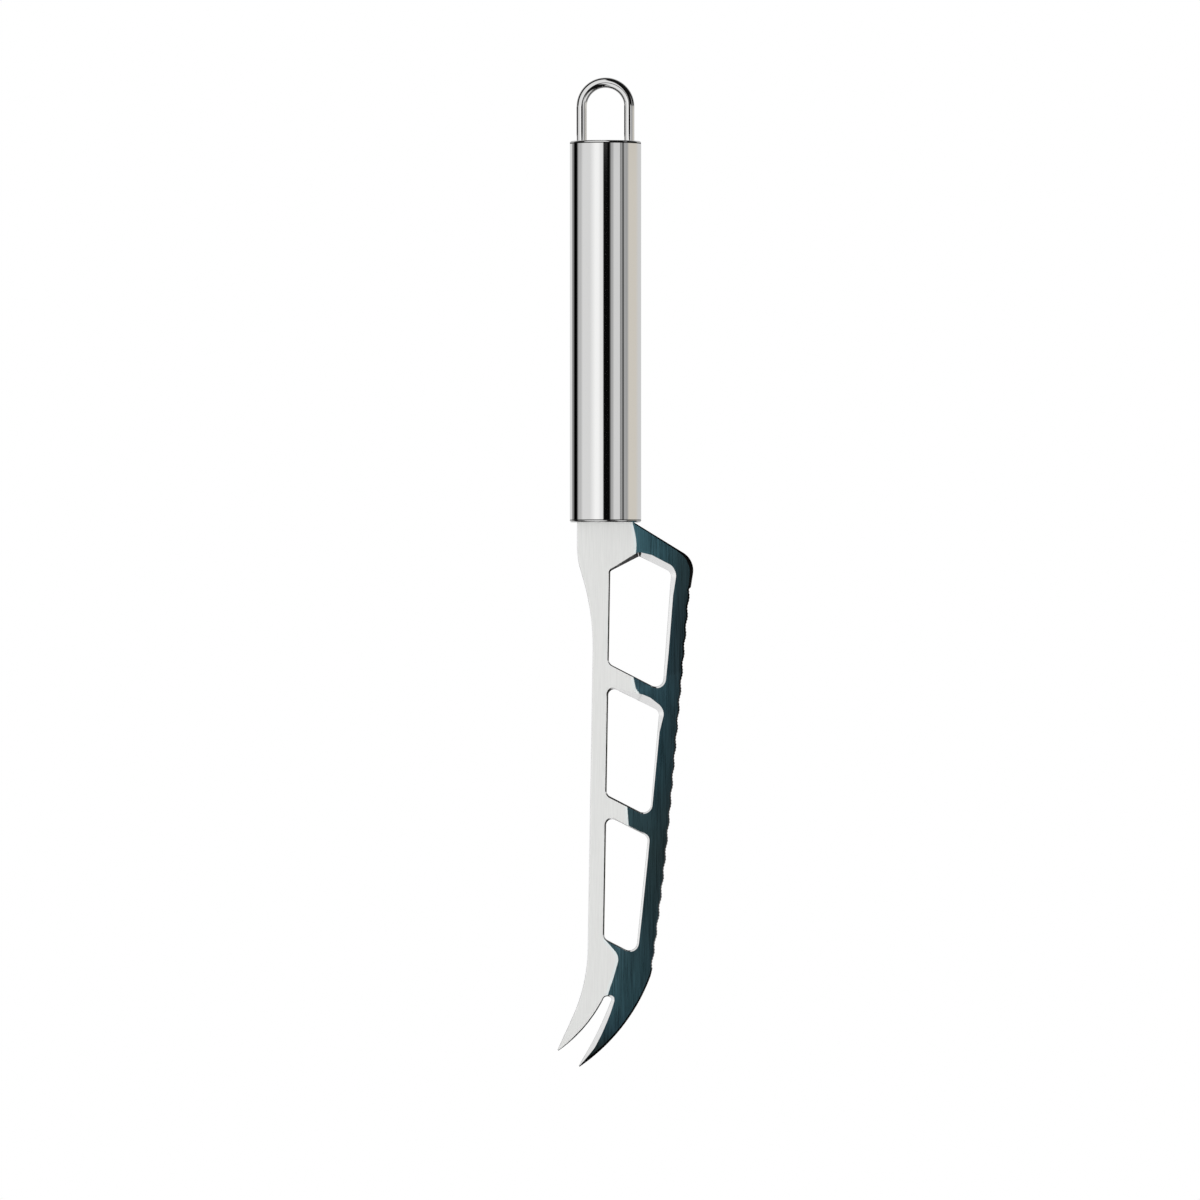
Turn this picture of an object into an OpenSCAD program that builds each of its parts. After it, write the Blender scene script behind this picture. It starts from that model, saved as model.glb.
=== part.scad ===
// Cheese knife with a tubular steel handle, a wire hanging loop and a flat blade
// that has three windows, a serrated edge and a forked tip for picking up slices.
// Millimetres. The origin is on the handle's axis at the tube's end by the blade.
// +Z runs up the handle to the loop, +X points to the cutting edge, and the front
// face of the blade looks along -Y.

/* [Handle] */
// Outside diameter of the handle tube
handle_d = 18; // [16:0.5:24]
// Length of the handle tube
handle_l = 95; // [70:1:130]
// Wall of the handle tube
tube_wall = 0.5; // [0.4:0.1:1]

/* [End caps] */
// Sheet thickness of both drawn caps
cap_t = 0.6; // [0.4:0.1:1]
// Length of the skirt that each cap has inside the tube
skirt_l = 6; // [3:0.5:12]
// Gap between a cap's skirt and the tube's bore
skirt_gap = 0.05; // [0.02:0.01:0.2]
// Rounding of the rim of each cap
rim_r = 0.25; // [0.1:0.05:0.4]

/* [Hanging loop] */
// Wire diameter of the loop
wire_d = 2.6; // [2:0.1:3.2]
// Distance between the centres of the loop's two legs
leg_pitch = 12; // [9:0.5:13]
// Straight length of each leg between the end cap and the arch
leg_l = 8.8; // [4:0.2:20]
// How far each leg reaches past the inside face of the end cap
leg_tail = 4; // [2:0.5:10]
// Gap between the wire and the hole in the end cap
wire_gap = 0.05; // [0.02:0.01:0.15]

/* [Blade sheet] */
// Thickness of the blade sheet
blade_t = 1.8; // [1.5:0.1:2.5]
// Length from the cap to the tip of the long prong
blade_l = 137.85; // [125:0.05:165]
// Width of the neck where the blade leaves the cap
neck_w = 14.4; // [12:0.2:16]
// Length of the neck's straight side at the spine
neck_l = 9.2; // [6:0.2:12]
// Radius where the neck turns in to the spine
neck_r = 22; // [10:1:30]
// Distance below the cap where the neck's slope meets the spine
waist_z = 22.6; // [20:0.2:28]
// Radius where the neck's slope runs out into the spine
waist_r = 62; // [30:1:70]
// Distance from the handle's axis to the spine line, carried up to the cap
spine_top_x = 2.7; // [2:0.1:4]
// Distance from the handle's axis to the spine at its lower end
spine_end_x = 4.5; // [3:0.1:6]
// Distance from the end of the straight spine down to the long prong's tip
spine_foot = 29.75; // [26:0.25:36]

/* [Heel and edge] */
// Slope of the shoulder that runs from the neck to the heel, below level
shoulder_deg = 31.6; // [28:0.2:36]
// Radius of the heel
heel_r = 5.7; // [3:0.1:7]
// Angle of the plain edge between the heel and the first tooth, above level
ricasso_deg = 76; // [70:1:84]
// Reach of the edge from the handle's axis at the first tooth
edge_top_x = 21.5; // [19:0.05:24]
// Distance below the cap to the first tooth
edge_top_z = 16.7; // [15:0.1:19]
// Reach of the edge halfway between the first tooth and the last
edge_mid_x = 17.4; // [16.9:0.05:17.9]
// Reach of the edge at the last tooth
edge_end_x = 11.85; // [10.5:0.05:13]
// Distance from the last tooth down to the long prong's tip
edge_foot = 24.65; // [22:0.05:28]
// Bow of the edge's lower half
edge_bow = 0.35; // [0.1:0.05:0.6]
// Bow of the belly between the last tooth and the long prong's tip
belly_bow = 2.8; // [1:0.1:4]

/* [Fork] */
// Distance of the long prong's tip from the handle's axis
long_tip_x = 7.2; // [4:0.05:9]
// Distance of the short prong's tip from the handle's axis
short_tip_x = 12.35; // [10:0.05:14]
// How much higher the short prong's tip is than the long one's
prong_step = 4.15; // [2:0.05:6]
// Depth of the slot between the prongs, from the long prong's tip
slot_depth = 18.2; // [12:0.1:20]
// Radius of the slot's closed end
slot_r = 1.2; // [0.8:0.1:1.4]
// Distance of the slot's closed end from the handle's axis
slot_x = 0.5; // [0:0.1:1.2]
// Angle round the slot's closed end, from the edge's side, at which the short prong starts
slot_lead_deg = 170; // [130:1:200]
// Lean of the short prong's back from the vertical
back_deg = 24.5; // [20:0.5:32]
// Radius where the spine turns into the short prong's back
back_r = 42; // [20:1:48]
// Bow of the short prong's inner side
short_bow = 1.1; // [0.5:0.05:2]
// Bow of the long prong's inner side
long_bow = 0.5; // [0.2:0.1:1.5]
// Rounding of both prong tips
tip_r = 0.15; // [0.1:0.05:0.3]

/* [Windows] */
// Width of the strip between the windows and the spine
spine_strip = 4.35; // [3.5:0.05:6]
// Width of the strip between the windows and the edge, at the first tooth
edge_strip_top = 5.15; // [4:0.05:6]
// Width of the strip between the windows and the edge, halfway to the last tooth
edge_strip_mid = 5.6; // [4:0.05:7]
// Slope of the webs between the windows, below level
web_deg = 26.6; // [15:0.5:35]
// Width of each web
web_w = 5.05; // [3.5:0.05:7]
// Where the upper web's middle is, as a share of the way from the peak to the windows' end
web1_share = 0.305; // [0.28:0.005:0.38]
// Where the lower web's middle is, as a share of the same way
web2_share = 0.65; // [0.6:0.005:0.7]
// Distance from the windows' end, on the handle's axis, down to the long prong's tip
windows_foot = 32.65; // [31:0.05:42]
// Distance from the cap to the peak of the top window
peak_z = 8.6; // [8:0.1:11]
// Distance of that peak from the handle's axis
peak_x = 8.6; // [6:0.1:10]
// Slope of the top window's side that falls from the peak to the spine
roof_deg = 30.7; // [20:0.5:36]
// Rounding of the windows' corners at the spine
spine_corner_r = 1.5; // [0.5:0.1:2.5]
// Rounding of the windows' upper corners at the edge
upper_corner_r = 1.8; // [0.5:0.1:2.5]
// Rounding of the windows' lower corners at the edge
lower_corner_r = 2; // [0.5:0.1:3]
// Rounding of the top window's peak and of its corner below the neck
peak_r = 0.6; // [0.3:0.1:1.5]

/* [Grind] */
// Thickness that the grind leaves at the heel
heel_edge_t = 0.35; // [0.25:0.05:0.8]
// Width of the ground face at the first tooth
grind_top_w = 13.3; // [11.5:0.1:14]
// Width of the ground face where its line turns towards the slot
grind_turn_w = 8.8; // [8:0.05:9.5]
// Distance from the grind line's turn towards the slot down to the long prong's tip
grind_foot = 28.45; // [26:0.05:33]
// Radius of the grind line above its turn
grind_r = 1140; // [600:20:3000]
// Radius of the grind line below its turn
grind_turn_r = 28; // [20:1:40]

/* [Serrations] */
// Pitch of the waves along the edge
wave_pitch = 4.7; // [3:0.1:8]
// Depth of each wave
wave_depth = 0.35; // [0.1:0.05:0.8]
// Number of small teeth on each wave
wave_teeth = 6; // [3:1:8]
// Depth of each small tooth
tooth_depth = 0.13; // [0.05:0.01:0.2]
// Angle between the serrated bevel and the blade's faces
bevel_deg = 60; // [35:1:65]

/* [Tang and welds] */
// Width of the tang inside the handle
tang_w = 10; // [6:0.5:11]
// Length of the tang inside the handle
tang_l = 22; // [10:1:40]
// How much thinner the tang is than the blade sheet
tang_step = 0.3; // [0.1:0.05:0.5]
// Gap between the tang and the slot in the front cap
tang_gap = 0.05; // [0.02:0.01:0.15]
// Radius of the weld bead round the tang
tang_bead_r = 1; // [0.5:0.1:1.5]
// Radius of the weld bead round each leg of the loop
leg_bead_r = 0.5; // [0.3:0.05:0.5]

/* [Hidden] */
$fn = 64;

// How far every cut runs past what it cuts
overrun = 1;
// Points on each arc of an outline
arc_points = 10;

bore_r = handle_d / 2 - tube_wall;
skirt_r = bore_r - skirt_gap;
tang_t = blade_t - tang_step;

// The blade is laid out in its own plane, with x to the edge, y up and 0 at the cap.
spine_top = [-spine_top_x, 0];
spine_end = [-spine_end_x, spine_foot - blade_l];
edge_top = [edge_top_x, -edge_top_z];
edge_end = [edge_end_x, edge_foot - blade_l];
edge_mid = [edge_mid_x, (edge_top.y + edge_end.y) / 2];
long_tip = [-long_tip_x, -blade_l];
short_tip = [-short_tip_x, prong_step - blade_l];
slot_end = [slot_x, slot_depth - slot_r - blade_l];

function unit(v) = v / norm(v);
function heading(a) = [cos(a), sin(a)];
function left_of(v) = [-v.y, v.x];
function between(p, q, share) = p + (q - p) * share;
function tail(points) = [for (i = [1 : len(points) - 1]) points[i]];
function cross2(u, v) = u.x * v.y - u.y * v.x;

// Where the line through p along u meets the line through q along v
function meet(p, u, q, v) = p + u * cross2(q - p, v) / cross2(u, v);

// An arc's points from p towards q, without q, bowed out to the left by bow
function bowed(p, q, bow) =
    let (
        chord = norm(q - p),
        r = (chord * chord / 4 + bow * bow) / (2 * abs(bow)),
        side = left_of(unit(q - p)) * sign(bow),
        centre = between(p, q, 1 / 2) + side * (abs(bow) - r),
        half = asin(chord / 2 / r)
    )
    [for (i = [0 : arc_points - 1])
        let (a = half * (2 * i / arc_points - 1))
        centre + side * r * cos(a) + unit(q - p) * r * sin(a)];

// The arc that rounds the corner c, between the points a and b, with radius r
function rounded(a, c, b, r) =
    let (
        u = unit(a - c),
        v = unit(b - c),
        half = acos(u * v) / 2,
        centre = c + unit(u + v) * r / sin(half),
        turn = sign(cross2(v, u)),
        from = -unit(u + v)
    )
    [for (i = [0 : arc_points])
        let (a = (90 - half) * (1 - 2 * i / arc_points) * turn)
        centre + r * [from.x * cos(a) + from.y * sin(a), from.y * cos(a) - from.x * sin(a)]];

// A closed outline with every corner rounded by its own radius
function rounded_loop(corners, radii) =
    let (n = len(corners))
    [for (i = [0 : n - 1])
        each rounded(corners[(i + n - 1) % n], corners[i], corners[(i + 1) % n], radii[i])];

// Outline of the sheet, from the neck down the spine, round the fork and up the edge
waist = meet([0, -waist_z], [1, 0], spine_top, spine_end - spine_top);
neck_corner = [-neck_w / 2, -neck_l];
neck_end = [neck_w / 2, 0];
heel_corner = meet(neck_end, heading(-shoulder_deg), edge_top, heading(ricasso_deg));
slot_side = heading(web_deg) * slot_r;

back_corner = meet(spine_top, spine_end - spine_top, short_tip, heading(90 - back_deg));
short_side = bowed(short_tip, slot_end + heading(slot_lead_deg) * slot_r, -short_bow);
long_side = bowed(slot_end + slot_side, long_tip, long_bow);
belly = bowed(long_tip, edge_end, -belly_bow);

blade_points = [
    [-neck_w / 2, 0],
    each rounded([-neck_w / 2, 0], neck_corner, waist, neck_r),
    each rounded(neck_corner, waist, back_corner, waist_r),
    each rounded(waist, back_corner, short_tip, back_r),
    each rounded(back_corner, short_tip, short_side[1], tip_r),
    each tail(short_side),
    for (i = [0 : arc_points])
        slot_end + heading(slot_lead_deg + (web_deg - slot_lead_deg) * i / arc_points) * slot_r,
    each long_side,
    each rounded(long_side[arc_points - 1], long_tip, belly[1], tip_r),
    each tail(belly),
    each bowed(edge_end, edge_mid, -edge_bow),
    edge_mid,
    edge_top,
    each rounded(edge_top, heel_corner, neck_end, heel_r),
    neck_end
];

// The windows lie between a line along the spine and a line along the edge
web_dir = heading(-web_deg);
web_rise = web_w / 2 / cos(web_deg);
inner_p = spine_top + [spine_strip, 0];
inner_dir = unit(spine_end - spine_top);
outer_p = edge_top - [edge_strip_top, 0];
outer_dir = unit(edge_mid - [edge_strip_mid, 0] - outer_p);
peak = [peak_x, -peak_z];
windows_end = windows_foot - blade_l;
web1 = -peak_z + (windows_end + peak_z) * web1_share;
web2 = -peak_z + (windows_end + peak_z) * web2_share;

function at_spine(z) = meet([0, z], web_dir, inner_p, inner_dir);
function at_edge(z) = meet([0, z], web_dir, outer_p, outer_dir);

top_window = [
    meet(peak, heading(roof_deg), inner_p, inner_dir),
    at_spine(web1 + web_rise),
    at_edge(web1 + web_rise),
    meet(peak, web_dir, outer_p, outer_dir),
    peak
];
top_radii = [peak_r, spine_corner_r, lower_corner_r, upper_corner_r, peak_r];

function lower_window(from, to) = [at_spine(from), at_spine(to), at_edge(to), at_edge(from)];
lower_radii = [spine_corner_r, spine_corner_r, lower_corner_r, upper_corner_r];

windows = [
    rounded_loop(top_window, top_radii),
    rounded_loop(lower_window(web1 - web_rise, web2 + web_rise), lower_radii),
    rounded_loop(lower_window(web2 - web_rise, windows_end), lower_radii)
];

// The grind line is an arc of grind_r that turns into a tighter one, tangent to it
grind_top = edge_top - [grind_top_w, 0];
grind_turn = meet([0, grind_foot - blade_l], [1, 0], edge_mid, edge_end - edge_mid)
    - [grind_turn_w, 0];
grind_chord = norm(grind_top - grind_turn);
grind_side = left_of(unit(grind_turn - grind_top));
grind_centre = between(grind_top, grind_turn, 1 / 2)
    - grind_side * sqrt(grind_r * grind_r - grind_chord * grind_chord / 4);
turn_deg = atan2(grind_turn.y - grind_centre.y, grind_turn.x - grind_centre.x);
turn_centre = grind_turn - heading(turn_deg) * grind_turn_r;
heel_reach = edge_top_x + heel_r - (grind_centre.x + grind_r);
grind_rate = (blade_t - heel_edge_t) / 2 / heel_reach;

// The teeth run along the edge from its top, by length along a line that bends once
tooth_pitch = wave_pitch / wave_teeth;
upper_run = norm(edge_mid - edge_top);
teeth_run = upper_run + norm(edge_end - edge_mid);
tooth_count = floor(teeth_run / tooth_pitch);

function edge_at(s) = s < upper_run
    ? between(edge_top, edge_mid, s / upper_run)
    : let (share = (s - upper_run) / (teeth_run - upper_run))
        between(edge_mid, edge_end, share) + [4 * edge_bow * share * (1 - share), 0];

// Where the back face lies at a point of the ground part
function back_y(p) = blade_t / 2 - grind_rate * (norm(p - grind_centre) - grind_r);

module flat_sheet(t) {
    rotate([90, 0, 0]) linear_extrude(t, center = true) children();
}

// One ground face's cut, a conical step that starts at radius r and deepens outwards
module grind_sector(centre, r, from_deg, to_deg, reach) {
    translate([centre.x, 0, centre.y]) rotate([90, 0, 0]) rotate([0, 0, from_deg])
        rotate_extrude(angle = to_deg - from_deg, $fn = 720)
            polygon([
                [r, blade_t / 2],
                [r + reach, blade_t / 2 - reach * grind_rate],
                [r + reach, blade_t / 2 + overrun],
                [r, blade_t / 2 + overrun]
            ]);
}

module grind_cut() {
    reach = heel_reach + heel_r;
    lift_deg = asin((overrun - grind_centre.y) / grind_r);
    grind_sector(grind_centre, grind_r, turn_deg, lift_deg, reach);
    grind_sector(turn_centre, grind_turn_r, turn_deg - 90, turn_deg, reach);
}

// Small round teeth set along the waves, cut through the bevel from the front face
module serration_cut() {
    rise = sin(bevel_deg);
    tooth_u = tooth_depth * rise;
    tooth_r = (tooth_pitch * tooth_pitch / 4 + tooth_u * tooth_u) / (2 * tooth_u);
    translate([edge_top.x, 0, 0]) rotate([0, 0, bevel_deg - 90])
        rotate([90, 0, 0]) linear_extrude(blade_t * 4, center = true)
            for (i = [0 : tooth_count - 1]) {
                s = (i + 1 / 2) * tooth_pitch;
                wave = wave_depth * (1 + cos(360 * s / wave_pitch)) / 2;
                place = edge_at(s);
                bevel_u = (place.x - edge_top.x - wave) * rise - back_y(place) * cos(bevel_deg);
                translate([bevel_u - tooth_u + tooth_r, place.y]) circle(tooth_r);
            }
}

module blade() {
    color("gainsboro") translate([0, 0, -cap_t]) {
        difference() {
            flat_sheet(blade_t) difference() {
                polygon(blade_points);
                for (w = windows) polygon(w);
            }
            grind_cut();
            mirror([0, 1, 0]) grind_cut();
            serration_cut();
        }
        flat_sheet(tang_t)
            translate([-tang_w / 2, -overrun]) square([tang_w, tang_l + cap_t + overrun]);
    }
}

module handle_tube() {
    color("silver") rotate_extrude()
        translate([bore_r, 0]) square([tube_wall, handle_l]);
}

// A drawn cap with its face at z = -cap_t, its rim on the tube's end and its skirt in the bore
module drawn_cap() {
    flange_r = handle_d / 2;
    difference() {
        union() {
            rotate_extrude() translate([0, -cap_t]) square([flange_r - rim_r, cap_t]);
            rotate_extrude() translate([0, rim_r - cap_t]) square([flange_r, cap_t - rim_r]);
            rotate_extrude() translate([flange_r - rim_r, rim_r - cap_t]) circle(rim_r);
            cylinder(r = skirt_r, h = skirt_l);
        }
        cylinder(r = skirt_r - cap_t, h = skirt_l + overrun);
    }
}

module front_cap() {
    color("lightgray") difference() {
        drawn_cap();
        flat_sheet(tang_t + 2 * tang_gap)
            translate([-tang_w / 2 - tang_gap, -cap_t - overrun])
                square([tang_w + 2 * tang_gap, cap_t + 2 * overrun]);
    }
}

module end_cap() {
    color("lightgray") translate([0, 0, handle_l]) mirror([0, 0, 1]) difference() {
        drawn_cap();
        for (side = [-1, 1])
            translate([side * leg_pitch / 2, 0, -cap_t - overrun])
                cylinder(d = wire_d + 2 * wire_gap, h = cap_t + 2 * overrun);
    }
}

module hanging_loop() {
    foot_z = handle_l - leg_tail;
    arch_z = handle_l + cap_t + leg_l;
    color("silver") union() {
        for (side = [-1, 1])
            translate([side * leg_pitch / 2, 0, foot_z]) cylinder(d = wire_d, h = arch_z - foot_z);
        translate([0, 0, arch_z]) rotate([90, 0, 0])
            rotate_extrude(angle = 180) translate([leg_pitch / 2, 0]) circle(d = wire_d);
    }
}

// The bead fills the corner between the cap's inside face and the tang, all the way round
module tang_weld() {
    color("darkgray") difference() {
        union() {
            for (side = [-1, 1]) {
                translate([-tang_w / 2, side * tang_t / 2, 0])
                    rotate([0, 90, 0]) cylinder(r = tang_bead_r, h = tang_w);
                translate([side * tang_w / 2, -tang_t / 2, 0])
                    rotate([-90, 0, 0]) cylinder(r = tang_bead_r, h = tang_t);
                for (end = [-1, 1])
                    translate([side * tang_w / 2, end * tang_t / 2, 0]) sphere(tang_bead_r);
            }
        }
        translate([-tang_w, -tang_w, -tang_w]) cube([2 * tang_w, 2 * tang_w, tang_w]);
        flat_sheet(tang_t)
            translate([-tang_w / 2, -overrun]) square([tang_w, tang_bead_r + 2 * overrun]);
    }
}

// The bead round one leg, on the end cap's inside face
module loop_weld(side) {
    color("darkgray") translate([side * leg_pitch / 2, 0, handle_l]) mirror([0, 0, 1])
        difference() {
            rotate_extrude() translate([wire_d / 2, 0]) circle(leg_bead_r);
            translate([0, 0, -leg_bead_r - overrun])
                cylinder(r = wire_d / 2 + leg_bead_r + overrun, h = leg_bead_r + overrun);
            cylinder(d = wire_d, h = leg_bead_r + overrun);
        }
}

blade();
handle_tube();
front_cap();
end_cap();
hanging_loop();
tang_weld();
loop_weld(-1);  // loop_weld_left
loop_weld(1);  // loop_weld_right
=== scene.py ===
"""Cheese knife: a polished tubular handle with a wire loop, and a flat blade with three windows,
a ground and serrated edge and a forked tip. Lengths inside the blade's own layout are millimetres
in the blade's plane, x to the cutting edge and y up, with 0 where the sheet meets the cap."""

import math

import bmesh
import bpy
import numpy as np
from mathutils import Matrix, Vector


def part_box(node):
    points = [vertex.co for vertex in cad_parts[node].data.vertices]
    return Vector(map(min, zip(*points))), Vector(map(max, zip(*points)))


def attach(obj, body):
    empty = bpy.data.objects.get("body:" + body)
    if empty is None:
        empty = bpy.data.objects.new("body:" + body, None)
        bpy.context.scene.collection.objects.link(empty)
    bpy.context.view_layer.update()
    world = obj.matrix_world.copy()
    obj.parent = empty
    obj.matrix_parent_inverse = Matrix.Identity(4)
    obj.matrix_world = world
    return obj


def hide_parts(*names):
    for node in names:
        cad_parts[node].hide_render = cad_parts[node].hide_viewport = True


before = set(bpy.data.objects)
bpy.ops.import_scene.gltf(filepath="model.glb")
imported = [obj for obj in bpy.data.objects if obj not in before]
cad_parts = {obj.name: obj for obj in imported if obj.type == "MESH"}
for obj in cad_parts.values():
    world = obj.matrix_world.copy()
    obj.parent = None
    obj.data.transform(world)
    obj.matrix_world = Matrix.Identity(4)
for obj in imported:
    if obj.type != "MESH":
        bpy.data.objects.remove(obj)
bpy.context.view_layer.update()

bl_info = {
    "name": "Cheese Knife",
    "version": (1, 0, 0),
    "blender": (4, 5, 0),
    "location": "View3D > Sidebar > Cheese Knife",
    "description": "Builds a cheese knife with a tubular handle and a windowed, forked blade",
    "category": "Object",
}

MM = 0.001
TUBE_LOW, TUBE_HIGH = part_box("handle_tube")
LOOP_LOW, LOOP_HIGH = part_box("hanging_loop")

# Faces of the blade, in the order of its material slots
# The edge's faces are near black steel: painted shade on the serrated bevel, the ground side's lip and
# its side wall
FLAT, GROUND, RIM, PAINTED_DARK_EDGE = range(4)

# Corners of a window, in the order of its loop
UPPER_LEFT, LOWER_LEFT, LOWER_RIGHT, UPPER_RIGHT, PEAK_TURN = range(5)

# Columns of the bands that make up the blade, from a window's rim out to the sheet's outline
RIM_SHARES = np.array([0.0, 0.06, 0.12, 0.2, 1.0])
FIELD_SHARES = np.linspace(0, 1, 17)
LIP_SHARES = np.array([1.0, 0.66, 0.33, 0.0])

# Points of a rounded corner, the number of its middle one, and points of the loop's arch and legs
CORNER_POINTS = 17
CORNER_MIDDLE = CORNER_POINTS // 2
ARCH_POINTS, LEG_POINTS = 97, 12

# Points closer than this are one, in millimetres and in the mesh's metres, and a face with less
# area than the smallest is left out
SAME_POINT, SAME_POINT_M = 1e-7, 1e-7
SMALLEST_FACE = 1e-6


# Plane geometry

def unit(v):
    """A vector over its own length."""
    return v / np.linalg.norm(v, axis=-1, keepdims=True)


def left_of(v):
    """A vector turned a quarter turn to its left."""
    return np.stack([-v[..., 1], v[..., 0]], -1)


def heading(degrees):
    """The unit vector at an angle from +x."""
    return np.array([math.cos(math.radians(degrees)), math.sin(math.radians(degrees))])


def cross(u, v):
    """The signed area of the parallelogram of u and v."""
    return u[..., 0] * v[..., 1] - u[..., 1] * v[..., 0]


def meet(p, u, q, v):
    """Where the line through p along u meets the line through q along v."""
    return p + u * cross(q - p, v) / cross(u, v)


def bowed(p, q, bow, count=24):
    """An arc from p to q whose middle stands off the chord by bow, to the left when positive."""
    chord = np.linalg.norm(q - p)
    radius = (chord * chord / 4 + bow * bow) / (2 * abs(bow))
    along = unit(q - p)
    side = left_of(along) * np.sign(bow)
    centre = (p + q) / 2 + side * (abs(bow) - radius)
    angle = math.asin(min(1, chord / 2 / radius)) * np.linspace(-1, 1, count)[:, None]
    return centre + side * radius * np.cos(angle) + along * radius * np.sin(angle)


def fillet(a, c, b, radius, count=CORNER_POINTS):
    """The arc of that radius that rounds corner c between a and b, tangent to both sides."""
    u, v = unit(a - c), unit(b - c)
    half = math.acos(float(u @ v)) / 2
    inward = unit(u + v)
    centre = c + inward * radius / math.sin(half)
    turn = np.sign(cross(v, u))
    angle = (math.pi / 2 - half) * turn * np.linspace(1, -1, count)
    cos, sin = np.cos(angle), np.sin(angle)
    x, y = -inward
    return centre + radius * np.stack([x * cos + y * sin, y * cos - x * sin], -1)


class Path:
    """A polyline read by its length: a point is the straight blend of its two neighbours."""

    def __init__(self, *parts):
        points = np.vstack(parts)
        steps = np.linalg.norm(np.diff(points, axis=0), axis=1)
        apart = steps > SAME_POINT
        self.points = points[np.append(True, apart)]
        self.reach = np.append(0, np.cumsum(steps[apart]))
        self.length = self.reach[-1]

    def at(self, s):
        """The points at lengths s."""
        return np.stack([np.interp(s, self.reach, self.points[:, k]) for k in (0, 1)], -1)

    def side(self, s, step=0.04):
        """The unit normal to the left of the way the path runs, from a short chord at s."""
        low, high = np.clip(s - step, 0, self.length), np.clip(s + step, 0, self.length)
        return left_of(unit(self.at(high) - self.at(low)))

    def crossing(self, p, u):
        """The length at which the path first crosses the line through p along u."""
        signed = cross(np.broadcast_to(u, self.points.shape), self.points - p)
        k = int(np.argmax(signed[:-1] * signed[1:] <= 0))
        share = signed[k] / (signed[k] - signed[k + 1])
        return self.reach[k] + share * (self.reach[k + 1] - self.reach[k])

    def over(self, x, highest):
        """The length at which the path crosses the upright line at x, at its highest or lowest."""
        side = self.points[:, 0] - x
        k = np.flatnonzero(side[:-1] * side[1:] <= 0)
        s = self.reach[k] + side[k] / (side[k] - side[k + 1]) * (self.reach[k + 1] - self.reach[k])
        return s[int((np.argmax if highest else np.argmin)(self.at(s)[:, 1]))]

    def nearest(self, p, count=4001):
        """The length at which the path comes closest to p."""
        s = np.linspace(0, self.length, count)
        return s[int(np.argmin(np.linalg.norm(self.at(s) - p, axis=1)))]


class Loop(Path):
    """A closed path: a polygon whose corners are rounded, and the middle of each corner's arc."""

    def __init__(self, corners, radii):
        n = len(corners)
        arcs = [fillet(corners[i - 1], corners[i], corners[(i + 1) % n], radii[i]) for i in range(n)]
        super().__init__(*arcs, arcs[0][:1])
        self.middles = np.array([self.nearest(arc[CORNER_MIDDLE]) for arc in arcs])

    def at(self, s):
        """The points at lengths s, which go round and round."""
        return super().at(np.mod(s, self.length))

    def side(self, s, step=0.04):
        """The unit normal to the left, as on a path, across the loop's start too."""
        return left_of(unit(self.at(s + step) - self.at(s - step)))

    def onward(self, s, place, clockwise):
        """The length at which the loop next comes to a place after s, run either way round."""
        if clockwise:
            return s - np.mod(s - place, self.length)
        return s + np.mod(place - s, self.length)


# The blade's layout

# The neck, and the line that the spine follows down to the fork's back. Radii turn the neck and
# the waist, and the waist's corner lies this far down
NECK_WIDTH, NECK_LENGTH = 14.4, 9.2
SPINE_TOP, SPINE_END = np.array([-2.7, 0.0]), np.array([-4.5, -108.1])
NECK_TURN, WAIST_TURN, WAIST_DROP = 22.0, 62.0, 22.6
# The shoulder falls to the heel, whose radius turns it down to the edge: straight from its top to
# its middle, and bowed from there to its end and on to the long tip
SHOULDER_FALL, HEEL_RADIUS, HEEL_LEAN = 31.6, 5.2, 81.0
EDGE_TOP, EDGE_MIDDLE, EDGE_END = np.array([[21.5, -16.7], [17.22, -64.95], [11.85, -113.2]])
EDGE_BOW, BELLY_BOW = 0.35, 2.62
# The fork: both tips, the back's lean and radius, the slot's closed end and the bows of its sides
LONG_TIP, SHORT_TIP = np.array([[-7.2, -137.85], [-12.35, -133.7]])
BACK_LEAN, BACK_RADIUS, TIP_RADIUS = 24.5, 42.0, 0.19
SLOT_END, SLOT_RADIUS, SLOT_LEAD_DEG = np.array([0.5, -120.85]), 1.2, 170
SHORT_BOW, LONG_BOW = 1.1, 0.5
# The windows: the fall of their tops and bottoms, the strip by the spine, the top one's roof, each
# one's side by the edge through two points, the heights at x = 0 of the lower two's tops and of all
# three bottoms, and the radii of their corners. The webs' middle lines have heights at x = 0 too
WEB_FALL, BOTTOM_FALL, SPINE_STRIP = 26.6, 27.2, 4.15
PEAK, ROOF_RISE = np.array([8.51, -8.55]), 27.3
RIGHT_SIDES = np.array([
    [[16.16, -18.7], [15.13, -32.85]], [[13.39, -50.0], [11.82, -67.7]],
    [[10.41, -82.85], [8.31, -103.05]],
])
WINDOW_TOPS, WINDOW_BOTTOMS = (-40.84, -73.91), (-35.21, -68.6, -105.23)
WEB_MIDDLES = -38.063, -71.39
SPINE_CORNER, UPPER_CORNER, LOWER_CORNER, PEAK_CORNER = 1.5, 1.8, 2.0, 0.6

# The height at which the tang's box starts, inside the sheet
TANG_ROOT = -1.2

# The plain edge stops this far before the teeth start. The points of the plain edge and of a
# tooth, and the number of places at which the teeth's ends are looked for
PLAIN_STOP = 0.3
PLAIN_POINTS, TOOTH_POINTS, FINE_SEARCH = 200, 8, 40001
# The share of its width that the serrated bevel has left at the belly, the sheet left under it,
# and how near the teeth a row has that bevel. Elsewhere the edge's way is read over a short chord
BEVEL_END, BEVEL_LEFT, TEETH_NEAR, PLAIN_CHORD = 0.5, 0.02, 0.01, 0.06

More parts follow.
